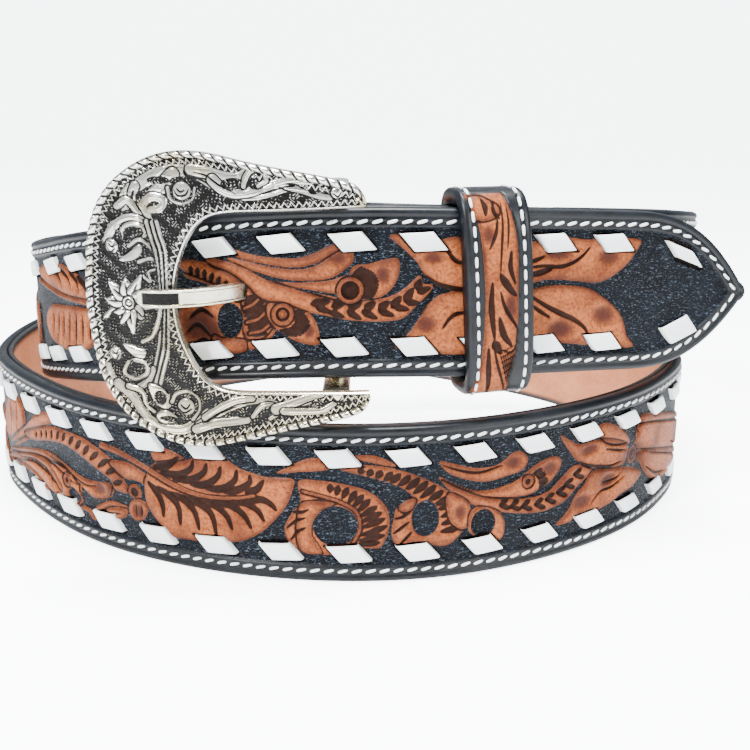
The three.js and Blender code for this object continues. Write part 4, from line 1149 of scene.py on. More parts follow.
def grain_group():
    """Pores and handling marks of leather, or the soft unevenness of cast metal."""
    group = bpy.data.node_groups.new("surface_grain", "ShaderNodeTree")
    group.interface.new_socket("Place", in_out="INPUT", socket_type="NodeSocketVector")
    group.interface.new_socket("Pore scale", in_out="INPUT", socket_type="NodeSocketFloat")
    for name in ("Tone", "Height", "Wear"):
        group.interface.new_socket(name, in_out="OUTPUT", socket_type="NodeSocketFloat")
    n = Nodes(group)
    given, made = n.add("NodeGroupInput"), n.add("NodeGroupOutput")
    place, pore = given.outputs["Place"], given.outputs["Pore scale"]
    broad = n.noise(place, n.maths("MULTIPLY", pore, 0.12), 3)
    fine = n.noise(place, pore, 5, 0.7)
    cell_scale = n.maths("MULTIPLY", pore, 0.9)
    cells = n.fill(n.add("ShaderNodeTexVoronoi", feature="F1"), {"Vector": place, "Scale": cell_scale})
    pores = n.maths("MULTIPLY", cells.outputs["Distance"], 0.5)
    height = n.maths("ADD", n.maths("MULTIPLY", fine, 0.6), pores)
    tone = n.maths("ADD", n.maths("MULTIPLY", broad, 0.45), n.maths("MULTIPLY", fine, 0.55))
    n.join(tone, made.inputs["Tone"])
    n.join(height, made.inputs["Height"])
    n.join(n.span(broad, 0.45, 0.75), made.inputs["Wear"])
    return group


def begin_material(name):
    material = bpy.data.materials.new(name)
    material.use_nodes = True
    n = Nodes(material.node_tree)
    return material, n, material.node_tree.nodes["Principled BSDF"]


def grain(n, group, scale):
    node = n.add("ShaderNodeGroup", node_tree=group)
    return n.fill(node, {"Place": n.place(), "Pore scale": scale}).outputs


def bump(n, height, strength, distance):
    settings = {"Height": height, "Strength": strength, "Distance": distance}
    return n.fill(n.add("ShaderNodeBump"), settings).outputs["Normal"]


# The blacks and the matting grey are tinted blue: a painted reflection of the bluish sky on the black
# leather.
BLACK_DYE = (0.0013, 0.0017, 0.0023)
BLACK_WORN_AND_BLUE_SHEEN = (0.006, 0.009, 0.014)
# Pale grey of the matting dashes: painted highlight standing in for glints on the stamped black ground.
MATTING_GLINT_GREY = (0.07, 0.088, 0.115)
TAN_LIGHT = (0.37, 0.108, 0.034)
TAN_MID = (0.11, 0.026, 0.008)
TAN_DARK = (0.06, 0.013, 0.006)
CUT_BROWN = (0.005, 0.0022, 0.0016)
HOLLOW_BROWN = (0.034, 0.01, 0.008)
LINING_DARK = (0.3, 0.1, 0.038)
LINING_LIGHT = (0.46, 0.175, 0.075)
LACE_SHADED = (0.9, 0.95, 0.97)
LACE_WHITE = (0.98, 0.99, 1.0)
LACE_SOILED = (0.66, 0.72, 0.74)
THREAD_SHADED = (0.68, 0.7, 0.7)
THREAD_WHITE = (0.92, 0.93, 0.92)
SILVER_BRIGHT = (0.7, 0.7, 0.66)
SILVER_GILT = (0.62, 0.56, 0.4)
PRONG_BRIGHT = (0.78, 0.75, 0.6)
PRONG_GILT = (0.66, 0.6, 0.36)
SILVER_DULL = (0.25, 0.24, 0.2)
SILVER_BLACK = (0.004, 0.004, 0.0038)
PAPER_SHADED = (0.93, 0.94, 0.955)
PAPER_WHITE = (0.96, 0.965, 0.975)
MATTING_SCALE = (120.0, 300.0, 1.0)


def tooled_material(group):
    material, n, shader = begin_material("tooled_black_and_tan")
    marks = grain(n, group, 1500.0)
    tan = n.span(n.value("tan"), 0.4, 0.6)
    cut = n.span(n.value("cut"), 0.38, 0.62)
    field = n.value("field")
    # Black with random lighter worn patches; its blue tint is a painted reflection of the sky.
    black = n.mix(n.span(marks["Tone"], 0.4, 0.7), BLACK_DYE, BLACK_WORN_AND_BLUE_SHEEN)
    seed = n.add("ShaderNodeUVMap", uv_map="leather").outputs["UV"]
    stretch = n.fill(n.add("ShaderNodeMapping"), {"Vector": seed, "Scale": MATTING_SCALE})
    matting = n.noise(stretch.outputs["Vector"], 1.0, 1, 0.4, 1.4)
    # Stamped matting dashes on the black ground: real dents through the bump, and painted pale grey on top
    # as painted highlight of their glints.
    matting_dashes_and_glints = n.maths("MULTIPLY", n.span(matting, 0.58, 0.67), field)
    black = n.mix(matting_dashes_and_glints, black, MATTING_GLINT_GREY)
    mottle = n.span(n.noise(n.place(), 1300.0, 5, 0.8), 0.34, 0.58)
    brown = n.mix(mottle, TAN_MID, TAN_LIGHT)
    brown = n.mix(n.span(n.noise(n.place(), 90.0, 2), 0.44, 0.7, 0.0, 0.7), brown, TAN_DARK)
    brown = n.mix(n.maths("MULTIPLY", n.value("shade"), 0.92), brown, HOLLOW_BROWN)
    dyed = n.mix(tan, black, brown)
    n.join(n.mix(n.maths("MULTIPLY", cut, 0.95), dyed, CUT_BROWN), shader.inputs["Base Color"])
    n.join(n.span(marks["Tone"], 0.3, 0.7, 0.38, 0.6), shader.inputs["Roughness"])
    shader.inputs["Specular IOR Level"].default_value = 0.07
    plain = n.maths("MULTIPLY", n.span(n.maths("ADD", field, tan), 0.0, 1.0, 1.0, 0.0), 0.34)
    n.join(plain, shader.inputs["Coat Weight"])
    shader.inputs["Coat Roughness"].default_value = 0.36
    height = n.maths("ADD", n.maths("MULTIPLY", marks["Height"], 0.16), n.maths("MULTIPLY", matting_dashes_and_glints, 1.0))
    n.join(bump(n, height, 1.0, 0.0004), shader.inputs["Normal"])
    return material


def lining_material(group):
    material, n, shader = begin_material("natural_lining")
    marks = grain(n, group, 1100.0)
    flesh = n.mix(n.span(marks["Tone"], 0.36, 0.66), LINING_DARK, LINING_LIGHT)
    dyed = n.mix(n.value("dye"), flesh, BLACK_DYE)
    n.join(dyed, shader.inputs["Base Color"])
    n.join(n.span(marks["Tone"], 0.3, 0.7, 0.5, 0.72), shader.inputs["Roughness"])
    n.join(bump(n, marks["Height"], 0.5, 0.00015), shader.inputs["Normal"])
    return material


def lace_material(group):
    material, n, shader = begin_material("white_lace")
    marks = grain(n, group, 1300.0)
    white = n.mix(n.span(marks["Tone"], 0.35, 0.7), LACE_SHADED, LACE_WHITE)
    soiled = n.mix(n.maths("MULTIPLY", marks["Wear"], 0.2), white, LACE_SOILED)
    n.join(soiled, shader.inputs["Base Color"])
    n.join(n.span(marks["Tone"], 0.3, 0.7, 0.35, 0.5), shader.inputs["Roughness"])
    n.join(bump(n, marks["Height"], 0.35, 0.0001), shader.inputs["Normal"])
    return material


def thread_material(group):
    material, n, shader = begin_material("white_thread")
    marks = grain(n, group, 2600.0)
    white = n.mix(n.span(marks["Tone"], 0.35, 0.7), THREAD_SHADED, THREAD_WHITE)
    n.join(white, shader.inputs["Base Color"])
    shader.inputs["Roughness"].default_value = 0.6
    twist = n.fill(n.add("ShaderNodeTexWave"), {"Vector": n.place(), "Scale": 900.0, "Distortion": 1.0})
    n.join(bump(n, twist.outputs["Fac"], 0.4, 0.0001), shader.inputs["Normal"])
    return material


def silver_material(name, group, bright, pale, rough):
    material, n, shader = begin_material(name)
    marks = grain(n, group, 900.0)
    low = n.fill(n.add("ShaderNodeSeparateXYZ"), {"Vector": n.place()}).outputs["Z"]
    patches = n.span(n.noise(n.place(), 70.0, 2), 0.48, 0.62)
    gilt = n.maths("MAXIMUM", patches, n.span(low, 0.07, 0.045, 0.0, 0.9))
    metal = n.mix(gilt, bright, pale)
    metal = n.mix(n.span(marks["Tone"], 0.52, 0.75, 0.0, 0.35), metal, SILVER_DULL)
    dark = n.span(n.value("cut"), 0.12, 0.5)
    n.join(n.mix(dark, metal, SILVER_BLACK), shader.inputs["Base Color"])
    n.join(n.span(dark, 0, 1, 1.0, 0.0), shader.inputs["Metallic"])
    n.join(n.span(marks["Tone"], 0.3, 0.7, rough, rough + 0.14), shader.inputs["Roughness"])
    shader.inputs["Specular IOR Level"].default_value = 0.12
    n.join(bump(n, marks["Height"], 0.3, 0.00008), shader.inputs["Normal"])
    return material


def card_material():
    material, _, shader = begin_material("dark_card")
    shader.inputs["Base Color"].default_value = (0.01, 0.01, 0.011, 1)
    shader.inputs["Roughness"].default_value = 0.9
    return material


def floor_material():
    material, n, shader = begin_material("white_paper")
    tone = n.noise(n.place(), 40.0, 4)
    n.join(n.mix(tone, PAPER_SHADED, PAPER_WHITE), shader.inputs["Base Color"])
    shader.inputs["Emission Color"].default_value = (0.93, 0.965, 1, 1)
    seen = n.add("ShaderNodeLightPath").outputs["Is Camera Ray"]
    n.join(n.span(seen, 0, 1, 0.25, 6.0), shader.inputs["Emission Strength"])
    shader.inputs["Roughness"].default_value = 0.55
    return material


def tooled_face(s, v):
    return place(s, v, 0.0)


def leather_carving(draw_marks, start, end, seen_from, seen_to):
    """Carving of a stretch of the strap, from the marks that show between two places along it."""
    marks = Marks(LEATHER_PIXEL)
    draw_marks(marks)
    rows = marks.placed(tooled_face, (seen_from, 0), (seen_to, STRAP_H))
    return Carving(start, end, 0, STRAP_H, RELIEF_CELL, FLOW_BLUR, RELIEF).draw(rows)


band_carving = leather_carving(mark_band, BAND_FROM, BAND_TO, BAND_FROM - 2, BAND_TO + 6)
point_carving = leather_carving(mark_point, POINT_FROM, route.length, POINT_FROM, route.length)


def carved(layer, s, v):
    """Layer of the tooling all along the strap; the band's pattern repeats."""
    turn = BAND_FROM + (s - BAND_FROM) % BAND_REPEAT
    on_band = band_carving.read(getattr(band_carving, layer), turn, v)
    on_point = point_carving.read(getattr(point_carving, layer), s, v)
    return np.where(s > POINT_FROM, on_point, on_band)


def inset(s, v):
    """Distance in from the strap's outline, round the point too."""
    lean = np.gradient(half_width(s[:, 0]), s[:, 0])
    flat = half_width(s[:, 0])[:, None] - np.abs(v - STRAP_H / 2)
    return flat / np.sqrt(1 + lean[:, None] ** 2)


def slot_depth(s, v):
    """How far inside a lace slot each point lies; below zero outside."""
    depth = np.full(s.shape, OUTSIDE)
    for middle, lead in SLOTS:
        near = (s[:, 0] > middle - SLOT_L) & (s[:, 0] < middle + SLOT_L)
        if not near.any():
            continue
        start, end = slot_heights(middle - SLOT_L / 2), slot_heights(middle + SLOT_L / 2)
        ss, vv = s[near], v[near]
        for pick, shift in ((0, -lead), (2, lead)):
            beside = np.clip(ss - middle, -SLOT_L / 2, SLOT_L / 2)
            edges = [start[k] + (end[k] - start[k]) * (0.5 + beside / SLOT_L) for k in (pick, pick + 1)]
            low, high = [edge + LACE_TILT * beside for edge in edges]
            up = (vv - low) / (high - low)
            slant = SLOT_LEAN / 2 * (1 - 2 * up)
            along = SLOT_L / 2 - np.abs(ss - middle - shift - slant)
            upright = np.minimum(vv - low, high - vv) + 0.1
            depth[near] = np.maximum(depth[near], np.minimum(along, upright))
    return depth


def hole_depth(s, v):
    depth = np.full(s.shape, OUTSIDE)
    for i in range(1, HOLE_COUNT):
        away = np.hypot(s - (route.length - FIRST_HOLE - i * HOLE_PITCH), v - HOLE_UP * STRAP_H)
        depth = np.maximum(depth, HOLE_D / 2 - away)
    return depth


def strap_piece(name, start, end, step, across, material, nodes):
    """Stretch of the tooled strap, with steps along it and across it of about the given size."""
    s = steps_between(start, end, step)
    half = half_width(s)
    q = np.concatenate([steps_between(-1, -0.93, 0.012)[:-1],
                        steps_between(-0.93, 0.93, across / 19)[:-1],
                        steps_between(0.93, 1, 0.012)])
    v = STRAP_H / 2 + half[:, None] * q[None, :]
    ss = np.broadcast_to(s[:, None], v.shape)
    e = np.maximum(0, inset(ss, v))
    slot, hole = slot_depth(ss, v), hole_depth(ss, v)
    field = soft_step(e, BORDER_W - 0.3, BORDER_W + 0.3)
    tan = carved("tan", ss, v) * soft_step(e, 2.9, 3.3)
    cut = carved("cut", ss, v) * field
    relief = carved("rise", ss, v)
    relief = np.where(tan > 0.35, np.maximum(relief, -1.2 * RELIEF), relief * field)
    rounded = EDGE_R - np.sqrt(np.maximum(0, EDGE_R**2 - np.maximum(0, EDGE_R - e) ** 2))
    crease = 0.35 * np.exp(-(((e - CREASE_IN) / 0.35) ** 2))
    seam = 0.22 * np.exp(-(((e - STITCH_IN) / 0.4) ** 2)) * (tan < 0.35)
    pit = soft_step(slot, -0.25, 0.15) * SLOT_PIT + soft_step(hole, -0.12, 0.2) * HOLE_PIT
    face_w = relief - rounded - crease - seam - pit
    face_w = np.maximum(face_w, -DEEPEST - rounded)
    # Lace slots and prong holes are coloured near-black here: painted shade inside the openings, which are
    # only shallow pits.
    cut = np.maximum(cut * (tan > 0.3), soft_step(np.maximum(slot, hole), -0.34, -0.08))
    rim = np.where(s > LINING_START, RIM_T, FOLD_T)[:, None]
    back_v = STRAP_H / 2 + half[:, None] * np.array([1, 0.98, 0, -0.98, -1])
    back_w = np.concatenate([-rim + 0.4, -rim, -rim, -rim, -rim + 0.4], 1)
    vv = np.concatenate([v, back_v], 1)
    ww = np.concatenate([face_w, back_w], 1)
    rings = place(np.broadcast_to(s[:, None], vv.shape), vv, ww)
    thing = new_mesh(name, *loft(rings))
    put_uv(thing, np.broadcast_to(s[:, None], vv.shape), vv)
    flat = np.zeros(back_v.shape)
    shade = carved("shade", ss, v)
    bare = field * (tan < 0.45)
    for key, values in (("tan", tan), ("cut", cut), ("shade", shade), ("field", bare)):
        put_value(thing, key, np.concatenate([values, flat], 1))
    return finish_piece(thing, material, nodes)


def lining_piece(material):
    end = route.length - LINING_SHORT
    s = steps_between(LINING_START + 2, end, 1.2)
    half = half_width(s)[:, None] - LINING_INSET
    front = [(-1, 0), (-0.98, 0), (0, 0), (0.98, 0), (1, 0)]
    right = [(1, -0.7), (0.985, -0.95), (0.95, -1), (0.91, -1), (0.88, -1), (0.5, -1)]
    left = [(-side, deep) for side, deep in right[::-1]]
    q, w = np.array(front + right + [(0, -1)] + left).T
    w = w * LINING_T - LINING_FRONT
    v = STRAP_H / 2 + half * q
    ss = np.broadcast_to(s[:, None], v.shape)
    thing = new_mesh("lining_leather", *loft(place(ss, v, np.broadcast_to(w, v.shape))))
    put_uv(thing, ss, v)
    put_value(thing, "dye", np.broadcast_to(soft_step(np.abs(q), 0.89, 0.93), v.shape))
    return finish_piece(thing, material, ["lining"])


def lace_piece(up, material):
    """One row of lace: on the face in each slot, behind the leather between slots."""
    dive = SLOT_L / 2 - GAP
    beside = np.array([-1, -0.99, -0.97, -0.93, -0.86, -0.6, 0, 0.6, 0.86, 0.93, 0.97, 0.99, 1]) * dive
    on_face = np.array([0, 0.45, 0.74, 0.9, 0.97, 1, 1, 1, 0.97, 0.9, 0.74, 0.45, 0])
    across = np.array([0, 0.02, 0.08, 0.5, 0.92, 0.98, 1, 1, 0.9, 0.1, 0])
    swell = np.array([-0.45, -0.2, -0.04, 0, -0.04, -0.2, -0.45, -0.8, -1, -1, -0.8]) * LACE_T
    rings = []
    for middle, lead in SLOTS:
        near = slot_heights(middle - SLOT_L / 2)
        far = slot_heights(middle + SLOT_L / 2)
        shift = lead if up else -lead
        pick = slice(2, 4) if up else slice(0, 2)
        for b, rest in zip(beside, on_face):
            low, high = (near + (far - near) * (0.5 + b / SLOT_L))[pick]
            low, high = low + GAP / 2 + LACE_TILT * b, high - GAP / 2 + LACE_TILT * b
            slant = SLOT_LEAN / 2 * (1 - 2 * across) * (high - low) / SLOT_H
            top = -CORE_T - GAP + (LACE_PROUD + CORE_T + GAP) * rest
            rings.append(place(middle + b + shift + slant, low + (high - low) * across, top + swell))
    points, faces = loft(np.array(rings))
    name = "lace_row_upper" if up else "lace_row_lower"
    thing = new_mesh(name, points, faces)
    return finish_piece(thing, material, ["lace_upper" if up else "lace_lower"])


def stitch_tree(material):
    """One small capsule of thread laid at each place of a sheet of points."""
    tree = bpy.data.node_groups.new("stitches_on_points", "GeometryNodeTree")
    tree.interface.new_socket("Places", in_out="INPUT", socket_type="NodeSocketGeometry")
    for name in ("Thread radius", "Stitch length"):
        tree.interface.new_socket(name, in_out="INPUT", socket_type="NodeSocketFloat")
    tree.interface.new_socket("Stitches", in_out="OUTPUT", socket_type="NodeSocketGeometry")
    n = Nodes(tree)
    given, made = n.add("NodeGroupInput"), n.add("NodeGroupOutput")
    ball = n.fill(n.add("GeometryNodeMeshUVSphere"), {"Segments": 8, "Rings": 6, "Radius": 1.0})
    radius, length = given.outputs["Thread radius"], given.outputs["Stitch length"]
    here = n.add("GeometryNodeInputPosition").outputs[0]
    spot = n.fill(n.add("ShaderNodeSeparateXYZ"), {"Vector": here}).outputs
    x, y = spot["X"], spot["Y"]
    wide = n.maths("SQRT", n.maths("ADD", n.maths("MULTIPLY", x, x), n.maths("MULTIPLY", y, y)))
    fuller = n.maths("MINIMUM", n.maths("DIVIDE", 1.0, n.maths("MAXIMUM", wide, 0.01)), 1.4)
    scaled = {"X": n.maths("MULTIPLY", x, fuller), "Y": n.maths("MULTIPLY", y, fuller), "Z": spot["Z"]}
    moved = n.fill(n.add("ShaderNodeCombineXYZ"), scaled).outputs[0]
    swollen = {"Geometry": ball.outputs["Mesh"], "Position": moved}
    capsule = n.fill(n.add("GeometryNodeSetPosition"), swollen).outputs["Geometry"]
    sides = {"X": radius, "Y": radius, "Z": n.maths("MULTIPLY", length, 0.5)}
    size = n.fill(n.add("ShaderNodeCombineXYZ"), sides).outputs[0]
    shaped = n.fill(n.add("GeometryNodeTransform"), {"Geometry": capsule, "Scale": size})
    turn = n.fill(n.add("GeometryNodeInputNamedAttribute", data_type="FLOAT_VECTOR"), {"Name": "turn"})
    to_points = n.fill(n.add("GeometryNodeMeshToPoints"), {"Mesh": given.outputs["Places"]})
    laid = n.fill(n.add("GeometryNodeInstanceOnPoints"),
                  {"Points": to_points.outputs["Points"], "Instance": shaped.outputs["Geometry"],
                   "Rotation": turn.outputs["Attribute"]})
    real = n.fill(n.add("GeometryNodeRealizeInstances"), {"Geometry": laid.outputs["Instances"]})
    dressed = n.fill(n.add("GeometryNodeSetMaterial"), {"Geometry": real.outputs["Geometry"]})
    dressed.inputs["Material"].default_value = material
    n.join(dressed.outputs["Geometry"], made.inputs["Stitches"])
    return tree


def stitch_piece(name, places, heads, outs, tree):
    """Stitches at places, each along its heading and flat on the face it leans out of."""
    seeds = new_mesh(name + "_places", places, [])
    turns = []
    for head, out in zip(heads, outs):
        side = np.cross(out, head)
        basis = mathutils.Matrix(np.stack([side, np.cross(head, side), head], 1).tolist())
        turns.append(basis.to_euler())
    layer = seeds.data.attributes.new("turn", "FLOAT_VECTOR", "POINT")
    layer.data.foreach_set("vector", np.array([tuple(t) for t in turns], np.float32).ravel())
    modifier = seeds.modifiers.new("stitches", "NODES")
    modifier.node_group = tree
    wanted = {"Thread radius": STITCH_R * MM, "Stitch length": STITCH_L * MM}
    for socket in tree.interface.items_tree:
        if socket.in_out == "INPUT" and socket.name in wanted:
            modifier[socket.identifier] = wanted[socket.name]
    ready = seeds.evaluated_get(bpy.context.evaluated_depsgraph_get())
    mesh = bpy.data.meshes.new_from_object(ready)
    mesh.shade_smooth()
    seeds.modifiers.clear()
    thing = bpy.data.objects.new(name, mesh)
    bpy.context.scene.collection.objects.link(thing)
    bpy.data.objects.remove(seeds, do_unlink=True)
    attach(thing, "root")
    return thing


def stitch_line(up):
    """Middles of one row's stitches, from the fold round to the point's tip."""
    s = steps_between(WRAP_S + 4, route.length - 4.5, 0.5)
    half = half_width(s)
    lean = np.gradient(half, s)
    v = half - STITCH_IN * np.sqrt(1 + lean**2)
    keep = v > 0.2
    s, v = s[keep], v[keep]
    walked = np.concatenate([[0], np.cumsum(np.hypot(np.diff(s), np.diff(v)))])
    even = np.arange(STITCH_PITCH / 2, walked[-1], STITCH_PITCH)
    side = 1 if up else -1
    return np.interp(even, walked, s), STRAP_H / 2 + side * np.interp(even, walked, v)


def border_stitches(up, tree):
    """One row of stitches along the strap's edge, each a little slanted."""
    s, v = stitch_line(up)
    sunk = np.full(s.shape, STITCH_SUNK)
    middle = place(s, v, sunk)
    ahead = place(s + 0.5, v, sunk) - place(s - 0.5, v, sunk)
    back = np.stack([np.gradient(s), np.gradient(v)], 1)
    back /= np.linalg.norm(back, axis=1)[:, None]
    heads = ahead * back[:, :1] + np.array([0, 0, 1]) * (back[:, 1:] + STITCH_SLANT)
    outs = np.stack([ahead[:, 1], -ahead[:, 0], 0 * s], 1)
    heads /= np.linalg.norm(heads, axis=1)[:, None]
    outs /= np.linalg.norm(outs, axis=1)[:, None]
    outs -= heads * np.sum(outs * heads, axis=1)[:, None]
    outs /= np.linalg.norm(outs, axis=1)[:, None]
    name = "stitches_upper" if up else "stitches_lower"
    return stitch_piece(name, middle, heads, outs, tree)


def on_buckle(a, h, d):
    """Points on the buckle: a back from the arm's end, h up from its middle, d out."""
    bar_a = FRAME_APEX_X + FRAME_APEX - BAR_ACROSS
    sin, cos = math.sin(FRAME_ROLL), math.cos(FRAME_ROLL)
    along = (bar_a - a) * cos + h * sin
    up = (a - bar_a) * sin + h * cos
    turn = (along - bar_a + FRAME_APEX) / FRAME_R
    x = FRAME_APEX_X + (FRAME_R + d) * np.sin(turn)
    y = FRAME_APEX_Y + FRAME_R - (FRAME_R + d) * np.cos(turn)
    return np.stack([x, y, FRAME_RISE - FRAME_DROP + up + 0 * x], -1) + FOOT


def frame_edges(count):
    """Outer and inner edge of the whole frame, smoothed, at even shares of its way."""
    rows = np.array(FRAME_HALF)
    lower = rows[-2::-1] * (1, -1, 1, -1)
    whole = np.concatenate([rows, lower]) * (FRAME_L, FRAME_H / 2, FRAME_L, FRAME_H / 2)
    knots = walk(whole[:, :2])
    bends = spline_bends(knots, whole)
    made = spline_at(knots, whole, bends, np.linspace(0, knots[-1], count))
    return made[:, :2], made[:, 2:]


def buckle_face(a, h):
    return on_buckle(a, h, PLATE_T)


buckle_marks = Marks(BUCKLE_PIXEL, BUCKLE_STEM_SWELL)
mark_buckle(buckle_marks)
buckle_rows = buckle_marks.placed(buckle_face, (-1, -FRAME_REACH), (FRAME_L + 1.5, FRAME_REACH))
buckle_carving = Carving(
    -1, FRAME_L + 2, -FRAME_REACH, FRAME_REACH, FRAME_CELL, BUCKLE_BLUR, FRAME_RELIEF, True
).draw(buckle_rows)


def buckle_piece(material):
    outer, inner = frame_edges(FRAME_STEPS)
    wide = np.linalg.norm(outer - inner, axis=1)[:, None]
    t = np.concatenate([[0, 0], np.linspace(0, 1, FRAME_CELLS), [1, 1]])[None, :]
    spot = outer[:, None, :] * (1 - t[..., None]) + inner[:, None, :] * t[..., None]
    walked = walk(outer)[:, None]
    inside_walked = walk(inner)[:, None]
    off_outer = t * wide
    off_inner = (1 - t) * wide
    # twisted rope along the outer edge
    rope = np.clip(off_outer / ROPE_W, 0, 1)
    turn = (walked / ROPE_PITCH + ROPE_TURN * rope) % 1.0
    bead = np.sqrt(np.maximum(0, 1 - (2 * rope - 1) ** 2))
    tooth = np.abs(np.sin(math.pi * turn)) ** 0.6
    rope_d = PLATE_T - SUNK + (ROPE_T - PLATE_T + SUNK) * bead * (0.55 + 0.45 * tooth)
    # carved scrolls between the rope and the zigzag borders
    raised = buckle_carving.read(buckle_carving.rise, spot[..., 0], spot[..., 1])
    filled = buckle_carving.read(buckle_carving.tan, spot[..., 0], spot[..., 1])
    carved_cut = buckle_carving.read(buckle_carving.cut, spot[..., 0], spot[..., 1])
    zig = np.abs(((walked / ZIGZAG_PITCH) % 1.0) - 0.5) * 2
    zig_in = np.abs(((inside_walked / ZIGZAG_PITCH) % 1.0) - 0.5) * 2
    outer_band = soft_step(off_outer, ROPE_W, ROPE_W + 0.15)
    outer_band = outer_band * soft_step(off_outer, ROPE_W + 1.7, ROPE_W + 1.4)
    inner_band = soft_step(off_inner, 0.5, 0.6)
    inner_band = inner_band * soft_step(off_inner, INNER_BAND * 0.75, INNER_BAND * 0.6)
    crest_out = np.exp(-(((off_outer - ROPE_W - 0.25 - ZIGZAG_RISE * zig) / 0.28) ** 2))
    crest_in = np.exp(-(((off_inner - 0.7 - ZIGZAG_RISE * zig_in) / 0.26) ** 2))
    body = np.clip(filled, 0, 1)
    a, h = spot[..., 0], spot[..., 1]
    fleck = np.sin(4.1 * a + 2.2 * np.sin(3.3 * h)) * np.sin(4.6 * h + 2.4 * np.sin(2.9 * a + 1))
    fleck = 0.8 * soft_step(fleck, 0.42, 0.62) * (filled < 0.4)
    d = PLATE_T + raised
    d = np.where(filled < 0.5, PLATE_T - 0.55 + 0.4 * fleck, d)
    silvered = np.clip(np.maximum(body - carved_cut, 0.85 * fleck), 0, 1)
    bands = np.maximum(outer_band * crest_out, inner_band * crest_in) * (filled < 0.5)
    d = np.maximum(d, PLATE_T - SUNK + 0.45 * bands)
    silvered = np.maximum(silvered, bands)
    lip = soft_step(off_inner, 0.55, 0.4) * (off_outer > ROPE_W)
    d = np.where(lip > 0.5, PLATE_T - 0.35 * (1 - np.clip(off_inner / 0.3, 0, 1)), d)
    silvered = np.maximum(silvered, lip)
    on_rope = off_outer < ROPE_W
    d = np.where(on_rope, rope_d, d)
    silvered = np.where(on_rope, np.clip(tooth * 1.7 - 0.35, 0, 1) * (rope < 0.98), silvered)
    d[:, 0] = d[:, -1] = 0
    d[:, 1] = PLATE_T * 0.75
    d[:, -2] = PLATE_T * 0.8
    silvered[:, :2] = silvered[:, -2:] = 0.8
    thing = new_mesh("buckle_frame", *loft(on_buckle(spot[..., 0], spot[..., 1], d)))
    put_value(thing, "cut", 1 - silvered)
    return finish_piece(thing, material, ["buckle"])


def plain_cast(name, points, faces, material):
    """Cast piece without carving, bright all over."""
    thing = new_mesh(name, points, faces)
    put_value(thing, "cut", np.zeros(len(points)))
    return finish_piece(thing, material)


def tube_between(name, low, high, radius, material, sides=48):
    """Upright rod on the bar's line, its ends a little rounded, between two heights from its middle."""
    turn = np.linspace(0, -2 * math.pi, sides, endpoint=False)
    ring = np.stack([np.cos(turn), np.sin(turn), 0 * turn], 1)
    levels = [(low, radius * 0.8), (low + 0.2, radius * 0.93), (low + 0.5, radius),
              (high - 0.5, radius), (high - 0.2, radius * 0.93), (high, radius * 0.8)]
    rings = np.array([BAR + FOOT + (0, 0, FRAME_RISE - BAR[2] + z) + ring * r for z, r in levels])
    return plain_cast(name, *loft(rings), material)


def lug_piece(name, side, material):
    """Lug from an arm back to the bar, rounded round the bar."""
    reach = BAR[1] - FRAME_APEX_Y
    turn = np.linspace(0, math.pi, 24)
    x = np.concatenate([LUG_R * np.cos(turn), [-LUG_R, -LUG_R, 0, LUG_R, LUG_R]])
    y = np.concatenate([LUG_R * np.sin(turn), [-reach / 2, -reach, -reach - LUG_TAIL, -reach, -reach / 2]])
    low = LUG_INNER if side > 0 else -LUG_INNER - LUG_H
    rings = []
    for z, k in ((0, 0.84), (0.15, 0.93), (0.4, 0.98), (0.8, 1), (LUG_H - 0.8, 1), (LUG_H - 0.4, 0.98),
                 (LUG_H - 0.15, 0.93), (LUG_H, 0.84)):
        ring = np.stack([x * k, y * k, 0 * x + FRAME_RISE - FRAME_DROP + low + z], 1)
        rings.append(ring + (BAR[0], BAR[1], 0) + FOOT)
    return plain_cast(name, *loft(np.array(rings)[:, ::-1]), material)


def prong_line(count):
    """Prong's line in plan, with the share of its thickness at each place."""
    rows = np.array(PRONG_LINE)
    line = np.stack([rows[:, 0] * RING_W, rows[:, 1] * RING_D, rows[:, 2]], 1)
    knots = walk(line[:, :2])
    t = np.linspace(0, knots[-1], count)
    return t, spline_at(knots, line, spline_bends(knots, line), t)


def prong_piece(material):
    """Prong with a ridge along each side of its face, a dark recess by its tip and a pale panel."""
    t, made = prong_line(260)
    ahead = np.gradient(made[:, :2], axis=0)
    ahead /= np.linalg.norm(ahead, axis=1)[:, None]
    out = np.stack([ahead[:, 1], -ahead[:, 0]], 1) * -1
    left = t[-1] - t
    half = PRONG_W / 2 * np.clip(0.62 + 0.3 * left, 0, 1)
    u = np.concatenate([[1, 1, 0.97], np.linspace(0.9, -0.9, 37), [-0.97, -1, -1, -0.9, 0.9]])
    face = np.concatenate([[-0.85, 0.3, 0.75], np.full(37, 1), [0.75, 0.3, -0.85, -1, -1]])
    rings, marks = [], []
    for (x, y, thick), o, k, h in zip(made, out, left, half):
        deep = PRONG_T / 2 * thick
        panel = soft_step(np.abs(u), 0.7, 0.6) * (face == 1)
        recess = soft_step(k, RECESS_FROM, RECESS_FROM + 0.5) * soft_step(k, RECESS_TO, RECESS_TO - 0.5)
        gilt = soft_step(k, RECESS_TO, RECESS_TO + 0.3)
        w = face * deep - panel * (RECESS_DEEP * recess + PANEL_DEEP * gilt)
        rings.append(np.stack([x + o[0] * w, y + o[1] * w, FRAME_RISE + u * h], 1))
        seam = (np.abs(np.abs(u) - 0.66) < 0.05) * (face == 1) * gilt * 0.55
        marks.append(np.maximum(panel * recess * 0.62, seam))
    thing = new_mesh("prong_shank", *loft(np.array(rings) + FOOT))
    put_value(thing, "cut", np.array(marks))
    return finish_piece(thing, material, ["prong"])


